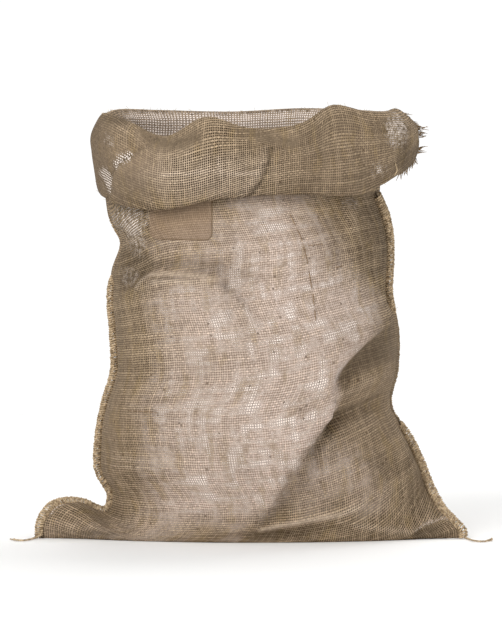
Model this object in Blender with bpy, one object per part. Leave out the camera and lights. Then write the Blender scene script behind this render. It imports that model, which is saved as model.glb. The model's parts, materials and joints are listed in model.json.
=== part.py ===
"""An open hessian sack that stands on its folded bottom, with its mouth turned out into a cuff.

One length of hessian is folded at the bottom and oversewn down both sides. The cloth is
modelled as one sheet: it starts at the bottom fold, lies flat on the ground, climbs the
puffed-out body, passes the neck, rolls over at the rim and comes down again outside as the
cuff, whose raw edge is tucked up under it. The two bottom corners stay flat and stand out as
ears, and a tail of the sewing twine lies on the ground beside each.

Frame: metres, +Z up, +X to the right seam, -Y to the front. The origin is on the ground
below the middle of the sack.
"""
import math
from collections import namedtuple

import bmesh
import bpy
import numpy as np
from mathutils import Vector

# ---------------------------------------------------------------- driving sizes, in metres
CLOTH_THICKNESS = 0.0020
TWINE_DIAMETER = 0.0023
PANEL_STEPS = 24            # columns of cloth across the front, and as many across the back
BODY_STEPS = 2              # rows of cloth from one level of the body to the next
WALL_STEPS = 3              # rows from the neck up to the rim
CUFF_STEPS = 10             # rows from the rim down to the raw edge
SEAM_RIDGE = 0.006          # how far the sewn edges stand out at the sides
SEAM_LOW, SEAM_HIGH = 0.01, 0.06    # the ridge grows to its full size between these heights

# ---------------------------------------------------------------- the body, level by level
# The section of the sack at each level of its cloth, from the bottom fold to the neck: how
# far it reaches to the left, right, front and back, how far back its side seams lie, and
# corner, which is 1 where the section is round at its sides, less where it is boxy, and
# more where it closes to a thin edge. The seams run a little off the widest places:
# left_turn and right_turn are how far along the cloth they are turned to the front.
Level = namedtuple("Level", "height left right front seam_y back corner left_turn right_turn")
LEVELS = [
    Level(0.000, -0.2425, 0.2425, -0.055, -0.055, -0.055, 1.60, 0.000, 0.000),
    Level(0.000, -0.2415, 0.2415, -0.082, -0.055, -0.026, 1.60, 0.000, 0.000),
    Level(0.000, -0.2360, 0.2365, -0.094, -0.052, 0.018, 1.60, 0.000, 0.000),
    Level(0.000, -0.2225, 0.2290, -0.102, -0.046, 0.058, 1.60, 0.000, 0.000),
    Level(0.007, -0.1965, 0.2180, -0.110, -0.038, 0.088, 1.50, 0.000, 0.000),
    Level(0.024, -0.1680, 0.2070, -0.117, -0.028, 0.106, 1.30, 0.000, 0.002),
    Level(0.048, -0.1605, 0.2000, -0.122, -0.017, 0.118, 1.05, 0.000, 0.004),
    Level(0.076, -0.1750, 0.1940, -0.128, -0.008, 0.128, 0.95, 0.002, 0.005),
    Level(0.112, -0.1745, 0.1810, -0.134, -0.003, 0.134, 0.88, 0.002, 0.004),
    Level(0.148, -0.1680, 0.1590, -0.137, 0.000, 0.137, 0.84, 0.002, -0.006),
    Level(0.190, -0.1565, 0.1665, -0.138, 0.000, 0.138, 0.82, 0.002, -0.012),
    Level(0.235, -0.1580, 0.1665, -0.139, 0.000, 0.138, 0.82, 0.002, -0.004),
    Level(0.275, -0.1605, 0.1580, -0.136, 0.000, 0.134, 0.84, 0.000, 0.010),
    Level(0.305, -0.1555, 0.1585, -0.130, 0.000, 0.129, 0.86, -0.010, 0.014),
    Level(0.335, -0.1475, 0.1595, -0.124, 0.000, 0.124, 0.88, -0.014, 0.017),
    Level(0.362, -0.1600, 0.1570, -0.118, 0.000, 0.118, 0.90, -0.016, 0.022),
    Level(0.392, -0.1635, 0.1485, -0.113, 0.000, 0.113, 0.92, -0.012, 0.032),
]
FLAT_ON_GROUND = 0.0012     # cloth lower than this lies flat on the ground

# Low down the side seams climb over the ears. Lift is how far a seam is above its level
# there, and reach how far in from the seam the cloth takes to come down to it.
Climb = namedtuple("Climb", "left_lift left_reach right_lift right_reach")
CLIMBS = [
    Climb(0.000, 0.030, 0.000, 0.030),
    Climb(0.015, 0.045, 0.009, 0.042),
    Climb(0.028, 0.055, 0.015, 0.048),
    Climb(0.039, 0.060, 0.022, 0.050),
    Climb(0.033, 0.042, 0.027, 0.050),
    Climb(0.005, 0.026, 0.030, 0.050),
    Climb(0.000, 0.030, 0.022, 0.050),
    Climb(0.000, 0.030, 0.010, 0.050),
]
LEVEL_HERE = Climb(0.000, 0.030, 0.000, 0.050)      # every level above those

# ---------------------------------------------------------------- folds in the front
# Each fold is a line across the front, seen from the front, with the cloth falling in on
# its right-hand side: by depth just past the line, fading out over reach.
Fold = namedtuple("Fold", "name line depth edge reach")
FOLDS = [
    Fold("upper slant on the right",
         [(0.190, 0.250), (0.172, 0.236), (0.140, 0.214), (0.098, 0.190)], 0.015, 0.018, 0.045),
    Fold("lower slant on the right",
         [(0.172, 0.152), (0.118, 0.153), (0.088, 0.124), (0.040, 0.056), (0.014, 0.022)],
         0.013, 0.018, 0.060),
    Fold("shelf under the shoulder",
         [(-0.018, 0.288), (-0.030, 0.302), (-0.112, 0.302), (-0.136, 0.290)],
         0.009, 0.016, 0.030),
]

# ---------------------------------------------------------------- the mouth, round its rim
# around runs from 0 at the left seam through 0.5 at the middle of the front, 1 at the right
# seam and 1.5 at the middle of the back. rim_in moves the rim in from the neck. The other
# columns are the cuff's section there: how far it stands out, how high it is widest, where
# its lowest part is, and where its raw edge ends up.
Mouth = namedtuple("Mouth", "around rim_z rim_in reach reach_z low_out low_z edge_out edge_z")
MOUTH = [
    Mouth(0.00, 0.484, 0.006, 0.021, 0.448, 0.012, 0.402, 0.006, 0.432),
    Mouth(0.10, 0.484, 0.003, 0.023, 0.442, 0.012, 0.391, 0.006, 0.425),
    Mouth(0.22, 0.477, 0.000, 0.023, 0.425, 0.014, 0.382, 0.006, 0.418),
    Mouth(0.34, 0.460, 0.004, 0.025, 0.420, 0.014, 0.379, 0.007, 0.416),
    Mouth(0.45, 0.482, 0.002, 0.024, 0.430, 0.013, 0.389, 0.007, 0.424),
    Mouth(0.56, 0.470, 0.004, 0.023, 0.430, 0.013, 0.395, 0.007, 0.428),
    Mouth(0.70, 0.474, 0.002, 0.023, 0.435, 0.013, 0.397, 0.007, 0.430),
    Mouth(0.82, 0.495, 0.016, 0.023, 0.440, 0.013, 0.395, 0.007, 0.430),
    Mouth(0.91, 0.487, 0.002, 0.023, 0.445, 0.014, 0.399, 0.008, 0.428),
    Mouth(1.00, 0.486, 0.000, 0.035, 0.452, 0.030, 0.421, 0.024, 0.417),
    Mouth(1.08, 0.489, 0.000, 0.043, 0.464, 0.043, 0.446, 0.041, 0.435),
    Mouth(1.16, 0.485, 0.000, 0.037, 0.468, 0.040, 0.453, 0.038, 0.445),
    Mouth(1.27, 0.486, 0.000, 0.024, 0.440, 0.017, 0.400, 0.010, 0.424),
    Mouth(1.40, 0.487, 0.000, 0.022, 0.435, 0.014, 0.391, 0.006, 0.424),
    Mouth(1.58, 0.483, 0.003, 0.022, 0.432, 0.014, 0.388, 0.006, 0.422),
    Mouth(1.76, 0.485, 0.000, 0.022, 0.432, 0.014, 0.391, 0.006, 0.424),
    Mouth(1.90, 0.487, 0.003, 0.020, 0.440, 0.012, 0.396, 0.006, 0.428),
]
WALL_BELOW_RIM = 0.010
SHOULDER_DROP = 0.012       # the cuff is nearly at its full width this far below the rim
RIM_SHARE, SHOULDER_SHARE = 0.40, 0.82      # of the reach, at the rim and at the shoulder
CUFF_STOPS = (0.00, 0.11, 0.25, 0.50, 0.76, 1.00)   # where the cuff's six places come

# ---------------------------------------------------------------- fringe on the raw edge
# Loose warp ends, as teeth of the cloth, where the cuff flares out at the right.
FRINGE_FROM, FRINGE_TO = 0.99, 1.21
FRINGE_CUTS = 5             # cuts in each step of the raw edge there
FRINGE_LENGTH = 0.0080

# ---------------------------------------------------------------- tails of the sewing twine
# Routes on the ground, from the corner of the sack to the free end.
TAIL_HEIGHT = TWINE_DIAMETER / 2 + 0.0001
LEFT_TAIL = [(-0.2437, -0.0545), (-0.2475, -0.0640), (-0.2520, -0.0780), (-0.2570, -0.0880),
             (-0.2625, -0.0900), (-0.2685, -0.0830), (-0.2725, -0.0700)]
RIGHT_TAIL = [(0.2437, -0.0545), (0.2470, -0.0690), (0.2515, -0.0890), (0.2580, -0.1000),
              (0.2650, -0.0980), (0.2710, -0.0860), (0.2750, -0.0700)]
TAIL_POINTS = 16


def smooth_value(at, places, values, period=0.0):
    """A smooth curve through values at places, read at each of at. It may repeat."""
    places, values = np.asarray(places, float), np.asarray(values, float)
    if period:
        places = np.concatenate([places[-2:] - period, places, places[:2] + period])
        values = np.concatenate([values[-2:], values, values[:2]])
    slopes = np.gradient(values, places)
    cell = np.clip(np.searchsorted(places, at, side="right") - 1, 0, len(places) - 2)
    width = places[cell + 1] - places[cell]
    share = np.clip((at - places[cell]) / width, 0, 1)
    rest = 1 - share
    return (values[cell] * (1 + 2 * share) * rest ** 2
            + values[cell + 1] * share ** 2 * (1 + 2 * rest)
            + slopes[cell] * width * share * rest ** 2
            - slopes[cell + 1] * width * share ** 2 * rest)


def eased(share):
    """0 below 0, 1 above 1, and a soft step between them."""
    share = np.clip(share, 0, 1)
    return share * share * (3 - 2 * share)


def table_row(kind, table, row):
    """A row of a table, at a row number that may lie between two rows."""
    rows = np.arange(len(table))
    return kind(*[float(smooth_value(np.array(row), rows, column)) for column in zip(*table)])


def cloth_ring(row, steps):
    """The ring of cloth at a level: the front from the left seam to the right, then the back."""
    level = table_row(Level, LEVELS, row)
    climbs = CLIMBS + [LEVEL_HERE] * (len(LEVELS) - len(CLIMBS))
    climb = table_row(Climb, climbs, row)
    turn = np.linspace(0, 2 * math.pi, 361)
    bow = np.sign(np.cos(turn)) * np.abs(np.cos(turn)) ** min(1.0, level.corner)
    x = (level.left + level.right) / 2 - (level.right - level.left) / 2 * bow
    depth = np.where(turn < math.pi, level.front, level.back) - level.seam_y
    y = level.seam_y + depth * np.abs(np.sin(turn)) ** level.corner
    run = np.concatenate([[0], np.cumsum(np.hypot(np.diff(x), np.diff(y)))])
    half_way, whole = run[180], run[-1]

    left_seam, right_seam = level.left_turn, half_way - level.right_turn
    front = np.linspace(left_seam, right_seam, steps + 1)[:-1]
    back = np.linspace(right_seam, left_seam + whole, steps + 1)[:-1]
    places = np.concatenate([front, back])
    ring = np.stack([np.interp(places % whole, run, x), np.interp(places % whole, run, y)])
    from_left = np.minimum(np.abs(places - left_seam), left_seam + whole - places)
    from_right = np.abs(places - right_seam)
    z = (level.height + climb.left_lift * np.exp(-(from_left / climb.left_reach) ** 2)
         + climb.right_lift * np.exp(-(from_right / climb.right_reach) ** 2))
    z[z < FLAT_ON_GROUND] = 0.0
    return np.stack([*ring, z], axis=1)


def outward(ring):
    """The level direction that points out of a ring at each of its points."""
    along = np.roll(ring, -1, axis=0) - np.roll(ring, 1, axis=0)
    out = np.stack([along[:, 1], -along[:, 0], np.zeros(len(ring))], axis=1)
    return out / np.maximum(np.linalg.norm(out, axis=1), 1e-9)[:, None]


def fold_depth(x, z):
    """How far the folds take the front of the sack in, at places seen from the front."""
    total = np.zeros_like(x)
    for fold in FOLDS:
        nearest = np.full(x.shape, np.inf)
        past = np.zeros_like(x)
        for (x0, z0), (x1, z1) in zip(fold.line, fold.line[1:]):
            run, rise = x1 - x0, z1 - z0
            share = ((x - x0) * run + (z - z0) * rise) / (run * run + rise * rise)
            share = np.clip(share, 0, 1)
            away_x, away_z = x - x0 - share * run, z - z0 - share * rise
            away = np.hypot(away_x, away_z)
            side = np.sign(away_z * run - away_x * rise)
            past = np.where(away < nearest, away * side, past)
            nearest = np.minimum(away, nearest)
        fallen = eased(past / fold.edge + 0.5)
        total += fold.depth * fallen * np.exp(-(np.maximum(past, 0) / fold.reach) ** 2)
    return total


def body_rings():
    """The rings of cloth from the bottom fold to the neck, with their folds."""
    rings = []
    for row in np.linspace(0, len(LEVELS) - 1, (len(LEVELS) - 1) * BODY_STEPS + 1):
        ring = cloth_ring(row, PANEL_STEPS)
        out = outward(ring)
        facing = np.clip(-out[:, 1], 0, 1)
        standing = eased(ring[:, 2] / 0.03)
        ring -= out * (fold_depth(ring[:, 0], ring[:, 2]) * facing * standing)[:, None]
        rings.append(ring)
    return rings


def sewn(ring):
    """The ring with the sewn edges of its panels standing out at both side seams."""
    out = outward(ring)
    for seam in (0, PANEL_STEPS):
        share = eased((ring[seam, 2] - SEAM_LOW) / (SEAM_HIGH - SEAM_LOW))
        ring[seam] += out[seam] * SEAM_RIDGE * share
    return ring


def mouth_rings(neck):
    """The rings of cloth above the neck: the wall, the rim and the cuff."""
    out = outward(neck)
    around = np.linspace(0, 2, 2 * PANEL_STEPS, endpoint=False)
    places = [mouth.around for mouth in MOUTH]
    shape = Mouth(*[smooth_value(around, places, column, period=2.0) for column in zip(*MOUTH)])
    wall_top = shape.rim_z - WALL_BELOW_RIM
    rings = []
    for share in np.arange(1, WALL_STEPS + 1) / WALL_STEPS:
        ring = neck - out * (shape.rim_in * eased(share))[:, None]
        ring[:, 2] = neck[:, 2] + (wall_top - neck[:, 2]) * share
        rings.append(ring)

    away = np.stack([0 * around, RIM_SHARE * shape.reach, SHOULDER_SHARE * shape.reach,
                     shape.reach, shape.low_out, shape.edge_out])
    height = np.stack([wall_top, shape.rim_z, shape.rim_z - SHOULDER_DROP, shape.reach_z,
                       shape.low_z, shape.edge_z])
    for share in np.arange(1, CUFF_STEPS + 1) / CUFF_STEPS:
        z = np.array([smooth_value(share, CUFF_STOPS, column) for column in height.T])
        distance = np.array([smooth_value(share, CUFF_STOPS, column) for column in away.T])
        wall_in = shape.rim_in * eased((z - neck[:, 2]) / (wall_top - neck[:, 2]))
        ring = neck + out * (distance - wall_in)[:, None]
        ring[:, 2] = z
        rings.append(ring)
    return rings


def fibre_material(name, colour, roughness):
    material = bpy.data.materials.new(name)
    material.use_nodes = True
    surface = material.node_tree.nodes["Principled BSDF"]
    surface.inputs["Base Color"].default_value = (*colour, 1.0)
    surface.inputs["Roughness"].default_value = roughness
    surface.inputs["Metallic"].default_value = 0.0
    return material


def new_object(name, data, material):
    piece = bpy.data.objects.new(name, data)
    data.materials.append(material)
    bpy.context.scene.collection.objects.link(piece)
    return piece


def add_fringe(form, raw_edge, ways):
    """Teeth along part of the raw edge: its steps are cut up and every second cut drawn out."""
    first, last = [round(place * PANEL_STEPS) for place in (FRINGE_FROM, FRINGE_TO)]
    for k in range(first, last):
        way = Vector(ways[k]).normalized() * FRINGE_LENGTH
        rest = form.edges.get((raw_edge[k], raw_edge[k + 1]))
        corner = raw_edge[k]
        for left in range(FRINGE_CUTS, 0, -1):
            cut, corner = bmesh.utils.edge_split(rest, corner, 1 / (left + 1))
            rest = form.edges.get((corner, raw_edge[k + 1]))
            if left % 2 == 0:
                drawn = bmesh.ops.extrude_edge_only(form, edges=[cut])["geom"]
                ends = [item for item in drawn if isinstance(item, bmesh.types.BMVert)]
                bmesh.ops.translate(form, verts=ends, vec=way)


def make_cloth(rings, material):
    """The sheet: each ring is joined to the next, and the first one is folded on itself."""
    form = bmesh.new()
    count = 2 * PANEL_STEPS
    fold = [form.verts.new(point) for point in rings[0][:PANEL_STEPS + 1]]
    below = fold + [fold[count - k] for k in range(PANEL_STEPS + 1, count)]
    for ring in rings[1:]:
        above = [form.verts.new(point) for point in ring]
        for k in range(count):
            after = (k + 1) % count
            form.faces.new([below[k], below[after], above[after], above[k]])
        below = above
    add_fringe(form, below, rings[-1] - rings[-2])
    mesh = bpy.data.meshes.new("sack_cloth")
    form.to_mesh(mesh)
    form.free()
    mesh.shade_smooth()
    cloth = new_object("sack_cloth", mesh, material)
    solid = cloth.modifiers.new("thickness", 'SOLIDIFY')
    solid.thickness = CLOTH_THICKNESS
    solid.offset = -1
    solid.use_even_offset = True


def make_tail(name, route, material):
    """A tail of twine on the ground: a tube along a smooth curve through its route."""
    line = bpy.data.curves.new(name, 'CURVE')
    line.dimensions = '3D'
    line.bevel_depth = TWINE_DIAMETER / 2
    line.bevel_resolution = 2
    line.use_fill_caps = True
    spline = line.splines.new('POLY')
    spline.points.add(TAIL_POINTS - 1)
    places = np.linspace(0, 1, len(route))
    wanted = np.linspace(0, 1, TAIL_POINTS)
    xs, ys = [smooth_value(wanted, places, column) for column in zip(*route)]
    for point, x, y in zip(spline.points, xs, ys):
        point.co = (x, y, TAIL_HEIGHT, 1)
    new_object(name, line, material)


for old in list(bpy.data.objects):
    bpy.data.objects.remove(old, do_unlink=True)

hessian = fibre_material("hessian", (0.35, 0.27, 0.18), 0.95)
twine = fibre_material("jute twine", (0.45, 0.30, 0.16), 0.90)
body = body_rings()
mouth = mouth_rings(body[-1])
make_cloth([sewn(ring) for ring in body] + mouth, hessian)
make_tail("twine_tail_left", LEFT_TAIL, twine)
make_tail("twine_tail_right", RIGHT_TAIL, twine)
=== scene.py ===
# %% [markdown]
# # An open hessian sack
# This is a sack sewn from one length of hessian, the coarse open weave of jute. It stands on
# its folded bottom, its mouth is turned out into a thick cuff, and its two bottom corners lie
# on the ground as flat ears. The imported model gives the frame: every piece is made in metres,
# in the same place as the solid that it stands for.

# %% Load the frame
import json
import math
import random
from collections import namedtuple
from functools import partial

import bmesh
import bpy
import numpy as np
from mathutils import Matrix, Vector, noise
from mathutils.bvhtree import BVHTree

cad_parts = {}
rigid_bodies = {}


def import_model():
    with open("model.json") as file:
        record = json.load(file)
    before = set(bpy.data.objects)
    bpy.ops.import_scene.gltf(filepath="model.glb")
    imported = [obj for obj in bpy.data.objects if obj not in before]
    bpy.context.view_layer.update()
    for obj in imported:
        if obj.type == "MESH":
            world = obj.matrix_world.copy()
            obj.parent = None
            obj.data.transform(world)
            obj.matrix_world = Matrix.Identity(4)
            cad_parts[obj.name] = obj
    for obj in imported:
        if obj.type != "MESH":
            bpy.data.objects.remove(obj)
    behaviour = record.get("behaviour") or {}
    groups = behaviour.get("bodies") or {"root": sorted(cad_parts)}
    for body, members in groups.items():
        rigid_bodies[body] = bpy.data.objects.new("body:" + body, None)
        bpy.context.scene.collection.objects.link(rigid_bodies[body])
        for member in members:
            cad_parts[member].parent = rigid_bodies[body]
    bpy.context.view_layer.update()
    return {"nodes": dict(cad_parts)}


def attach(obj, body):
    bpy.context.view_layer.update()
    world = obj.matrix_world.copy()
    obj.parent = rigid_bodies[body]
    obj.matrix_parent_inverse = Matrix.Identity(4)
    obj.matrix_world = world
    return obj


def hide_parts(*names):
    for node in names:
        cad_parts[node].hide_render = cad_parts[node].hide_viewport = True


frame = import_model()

print("CAD nodes:", sorted(frame["nodes"]))

# %% [markdown]
# ## The camera
# A long lens from six metres away keeps the sack's sides nearly parallel, and the camera looks
# down on it by a few degrees, just enough to see over the front of the rim. It aims at a point
# level with the middle of the sack, in the plane of its front.

# %% Place the camera
VIEW_DISTANCE = 6.0
VIEW_ELEVATION = math.radians(3.5)
VIEW_TALL = 0.7293          # metres from the bottom to the top of the picture at the target
SENSOR = 24.0               # millimetres, along the picture's long side
TARGET = Vector((0.0, -0.08, 0.2504))

lens = bpy.data.cameras.new("long lens")
lens.sensor_width = SENSOR
lens.lens = SENSOR * VIEW_DISTANCE / VIEW_TALL
camera = bpy.data.objects.new("camera", lens)
bpy.context.scene.collection.objects.link(camera)
away = Vector((0, -math.cos(VIEW_ELEVATION), math.sin(VIEW_ELEVATION)))
camera.location = TARGET + away * VIEW_DISTANCE
camera.rotation_euler = (-away).to_track_quat('-Z', 'Y').to_euler()
bpy.context.scene.camera = camera
print("camera at", [round(value, 3) for value in camera.location])

# %% [markdown]
# ## Floor and light
# The sack stands on plain white card in soft light. A large soft lamp in front and to the left
# does most of the work, a weaker one fills the other side, and a pale sky lights the rest, so the
# folds show by gentle shading and not by hard shadows. The sky is white low down, where it is
# seen behind the sack from any side, and dimmer overhead.

# %% Colour helper
def linear(code):
    """An sRGB hex colour as linear red, green, blue and alpha."""
    parts = [int(code[k:k + 2], 16) / 255 for k in (1, 3, 5)]
    return (*[c / 12.92 if c <= 0.04045 else ((c + 0.055) / 1.055) ** 2.4 for c in parts], 1.0)


# %% Node, material and object helpers
def add_node(tree, kind, inputs=None, out=0, **settings):
    """Adds a node and gives one of its outputs. Each input gets a value or a socket to follow."""
    node = tree.nodes.new("ShaderNode" + kind)
    for name, value in settings.items():
        setattr(node, name, value)
    for name, value in (inputs or {}).items():
        if isinstance(value, bpy.types.NodeSocket):
            tree.links.new(value, node.inputs[name])
        else:
            node.inputs[name].default_value = value
    return node.outputs[out] if node.outputs else None


def add_maths(tree, operation, *values, **settings):
    """Adds a Math node. MULTIPLY_ADD is the first value times the second, plus the third."""
    return add_node(tree, "Math", dict(enumerate(values)), operation=operation, **settings)


def add_blend(tree, share, first, second, **settings):
    """Adds a Mix node: the first colour at 0, and the second, or their product, at 1."""
    return add_node(tree, "Mix", {0: share, 6: first, 7: second}, out=2, data_type='RGBA',
                    **settings)


def new_material(name):
    """A material with an empty tree, and the function that adds nodes to that tree."""
    material = bpy.data.materials.new(name)
    material.use_nodes = True
    material.node_tree.nodes.clear()
    return material, partial(add_node, material.node_tree)


def new_object(name, form, material):
    """An object at the origin made from a bmesh."""
    mesh = bpy.data.meshes.new(name)
    form.to_mesh(mesh)
    form.free()
    mesh.materials.append(material)
    mesh.shade_smooth()
    made = bpy.data.objects.new(name, mesh)
    bpy.context.scene.collection.objects.link(made)
    return made


# %% Card floor
FLOOR_HALF = 1.75
FLOOR_DROP = 0.0004         # so that the floor and the bottom fold don't share a plane

card, node = new_material("matt white card")
surface = node("BsdfPrincipled", {"Base Color": linear("#fdfdfc"), "Roughness": 0.9,
                                  "Specular IOR Level": 0.1})
node("OutputMaterial", {"Surface": surface})
form = bmesh.new()
bmesh.ops.create_grid(form, x_segments=1, y_segments=1, size=FLOOR_HALF)
bmesh.ops.translate(form, verts=form.verts, vec=(0, 0, -FLOOR_DROP))
floor = new_object("card_floor", form, card)
print("floor:", 2 * FLOOR_HALF, "m wide")


# %% Lamps
def soft_lamp(name, place, size, power):
    """A square lamp that faces the middle of the sack."""
    data = bpy.data.lights.new(name, 'AREA')
    data.size = size
    data.energy = power
    lamp = bpy.data.objects.new(name, data)
    bpy.context.scene.collection.objects.link(lamp)
    lamp.location = place
    lamp.rotation_euler = (TARGET - Vector(place)).to_track_quat('-Z', 'Y').to_euler()


soft_lamp("key lamp", (-1.9, -2.6, 2.5), 2.2, 84)
soft_lamp("fill lamp", (2.4, -2.6, 1.2), 2.2, 15)
soft_lamp("back lamp", (0.7, 1.6, 2.6), 2.0, 48)

# %% Pale sky
HORIZON, OVERHEAD = 1.05, 0.48      # how bright the sky is low down and high up
DIMS_FROM, DIMS_TO = 0.03, 0.30     # as shares of the way from level to straight up

sky = bpy.data.worlds.new("pale sky")
sky.use_nodes = True
background = sky.node_tree.nodes["Background"]
background.inputs["Color"].default_value = linear("#ffffff")
air = partial(add_node, sky.node_tree)
height = air("SeparateXYZ", {0: air("TexCoord", out="Generated")}, out=2)
strength = air("MapRange", {"Value": height, "From Min": DIMS_FROM, "From Max": DIMS_TO,
                            "To Min": HORIZON, "To Max": OVERHEAD})
sky.node_tree.links.new(strength, background.inputs["Strength"])
bpy.context.scene.world = sky
bpy.context.scene.view_settings.view_transform = 'Standard'
print("sky:", HORIZON, "low down and", OVERHEAD, "overhead")


# %% [markdown]
# ## Smooth curves
# The sack's outline, its folds and its twine are all drawn by a few given points. One
# function reads a smooth curve through them, and another gives a soft step from 0 to 1. Two
# more measure the way along a line and give directions a length of 1.

# %% Curve helpers
def smooth_value(at, places, values, period=0.0):
    """A smooth curve through values at places, read at each of at. It may repeat."""
    places, values = np.asarray(places, float), np.asarray(values, float)
    if period:
        places = np.concatenate([places[-2:] - period, places, places[:2] + period])
        values = np.concatenate([values[-2:], values, values[:2]])
    slopes = np.gradient(values, places)
    cell = np.clip(np.searchsorted(places, at, side="right") - 1, 0, len(places) - 2)
    width = places[cell + 1] - places[cell]
    share = np.clip((at - places[cell]) / width, 0, 1)
    rest = 1 - share
    return (values[cell] * (1 + 2 * share) * rest ** 2
            + values[cell + 1] * share ** 2 * (1 + 2 * rest)
            + slopes[cell] * width * share * rest ** 2
            - slopes[cell + 1] * width * share ** 2 * rest)


def eased(share):
    """0 below 0, 1 above 1, and a soft step between them."""
    share = np.clip(share, 0, 1)
    return share * share * (3 - 2 * share)


def smooth_route(points, steps):
    """A smooth line through a few points, as steps + 1 points."""
    wanted = np.linspace(0, 1, steps + 1)
    places = np.linspace(0, 1, len(points))
    return np.stack([smooth_value(wanted, places, column) for column in zip(*points)], axis=1)


def run_along(points):
    """How far along a line each of its points is."""
    steps = np.linalg.norm(np.diff(points, axis=0), axis=1)
    return np.concatenate([[0], np.cumsum(steps)])


def unit(ways):
    """Directions made one metre long."""
    return ways / np.maximum(np.linalg.norm(ways, axis=1), 1e-9)[:, None]


# %% [markdown]
# ## Threads
# Everything that is thread and not cloth, from the sewing twine to the loose fibres of the raw
# edge, is a round strand along a line. A curve with a bevel makes a strand quickly, and many
# strands can share one curve, which is then turned into one mesh.

# %% Strand helper
THIN_END = 0.2              # share of a strand's length over which its end may thin out


def strands(name, lines, radius, material, thin_ends=0.0, resolution=1):
    """A mesh of round strands, one along each line. Their ends may thin out."""
    curve = bpy.data.curves.new(name, 'CURVE')
    curve.dimensions = '3D'
    curve.bevel_depth = radius
    curve.bevel_resolution = resolution
    curve.use_fill_caps = True
    for line in lines:
        spline = curve.splines.new('POLY')
        spline.points.add(len(line) - 1)
        for k, (point, place) in enumerate(zip(spline.points, line)):
            point.co = (*place, 1)
            end = min(k, len(line) - 1 - k) / max(len(line) - 1, 1)
            point.radius = 1 - thin_ends * max(0.0, 1 - end / THIN_END)
    holder = bpy.data.objects.new(name, curve)
    bpy.context.scene.collection.objects.link(holder)
    mesh = bpy.data.meshes.new_from_object(holder.evaluated_get(
        bpy.context.evaluated_depsgraph_get()))
    bpy.data.objects.remove(holder)
    bpy.data.curves.remove(curve)
    mesh.name = name
    mesh.materials.clear()
    mesh.materials.append(material)
    mesh.shade_smooth()
    made = bpy.data.objects.new(name, mesh)
    bpy.context.scene.collection.objects.link(made)
    return made


# %% [markdown]
# ## Jute twine
# The sewing twine is two-ply jute: matt, hairy and more golden than the woven cloth, because it
# is less dirty. Its colour drifts along its length, and its fibres give it a fine grain. Fibres
# that follow the twist would be too fine to show on so thin a cord, so two sizes of noise on
# Object coordinates do, and every thread of the sack shares them with colours of its own.

# %% Twine material
COLOUR_DRIFT = 0.0035       # metres from one shade to the next
FIBRE_GRAIN = 0.0009        # metres between fibre marks


def fibre_material(name, dark, light):
    """Matt jute fibre: a drifting colour between two shades, with a grain of fine fibres."""
    material, node = new_material(name)
    place = node("TexCoord", out="Object")
    drift = node("TexNoise", {"Vector": place, "Scale": 1 / COLOUR_DRIFT, "Detail": 3.0})
    grain = node("TexNoise", {"Vector": place, "Scale": 1 / FIBRE_GRAIN, "Detail": 2.0})
    both = node("Math", {0: drift, 1: grain}, operation='ADD')
    share = node("MapRange", {"Value": both, "From Min": 0.80, "From Max": 1.20})
    colour = node("Mix", {0: share, 6: linear(dark), 7: linear(light)}, out=2,
                  data_type='RGBA')
    bump = node("Bump", {"Height": grain, "Distance": 0.0003, "Strength": 0.7})
    surface = node("BsdfPrincipled", {"Base Color": colour, "Roughness": 0.9,
                                      "Specular IOR Level": 0.2, "Normal": bump})
    node("OutputMaterial", {"Surface": surface})
    return material


twine = fibre_material("two-ply jute twine", "#78644b", "#dac2a0")
raw_fibre = fibre_material("loose jute fibre", "#63503a", "#a48a68")
pale_jute = fibre_material("pale seam thread", "#9b8569", "#cdb795")
dark_jute = fibre_material("dark jute yarn", "#6a5440", "#a1876a")
bark = fibre_material("bark fleck", "#38291b", "#6b5136")
print("twine materials:", [m.name for m in (twine, raw_fibre, pale_jute, dark_jute, bark)])

# %% [markdown]
# ## Twine tails
# Each side seam was sewn from the mouth down, and the twine was cut off at the corner with a
# little to spare. The tails lie on the ground. A round cord with a twist painted on it would
# look smooth from the side, so each of a tail's two plies is a strand of its own, wound round
# the same route. Near its end a tail comes untwisted: the left one forks, and the plies of the
# right one open into a loop.

# %% Twist two plies along a route
TWINE_DIAMETER = 0.0023
PLY_RADIUS = TWINE_DIAMETER * 0.30
PLY_OFFSET = TWINE_DIAMETER * 0.22      # from the middle of the cord to the middle of a ply
TAIL_HEIGHT = TWINE_DIAMETER / 2 + 0.0001
TAIL_STEPS = 60
TWIST_PITCH = 0.0058
FORK_FROM = 0.66            # where along its length the left tail starts to fork
LOOP_FROM, LOOP_TO = 0.60, 0.98         # and where the plies of the right one part and meet
PLY_SPLIT = 0.0021          # how far each ply goes aside where a tail comes apart
PLY_FALL = 0.0004           # and how far down, until it lies on the ground
LEFT_TAIL = [(-0.2437, -0.0545), (-0.2475, -0.0640), (-0.2520, -0.0780), (-0.2570, -0.0880),
             (-0.2625, -0.0900), (-0.2685, -0.0830), (-0.2725, -0.0700)]
RIGHT_TAIL = [(0.2437, -0.0545), (0.2470, -0.0690), (0.2515, -0.0890), (0.2580, -0.1000),
              (0.2650, -0.0980), (0.2710, -0.0860), (0.2750, -0.0700)]


def plies(route, parted):
    """Two lines that wind round a route. parted says how far apart they are at each place."""
    along = unit(np.gradient(route, axis=0))
    side = unit(np.cross(along, (0, 0, 1)))
    up = np.cross(side, along)
    run = run_along(route)
    apart = parted(run / run[-1])
    lines = []
    for start in (0, math.pi):
        turn = start + run / TWIST_PITCH * 2 * math.pi
        sideways = PLY_OFFSET * np.cos(turn) + math.cos(start) * PLY_SPLIT * apart
        upward = PLY_OFFSET * np.sin(turn) * (1 - apart) - PLY_FALL * apart
        lines.append(route + sideways[:, None] * side + upward[:, None] * up)
    return lines


def forked(share):
    """A tail whose plies part for good near its end."""
    return eased((share - FORK_FROM) / (1 - FORK_FROM))


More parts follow.
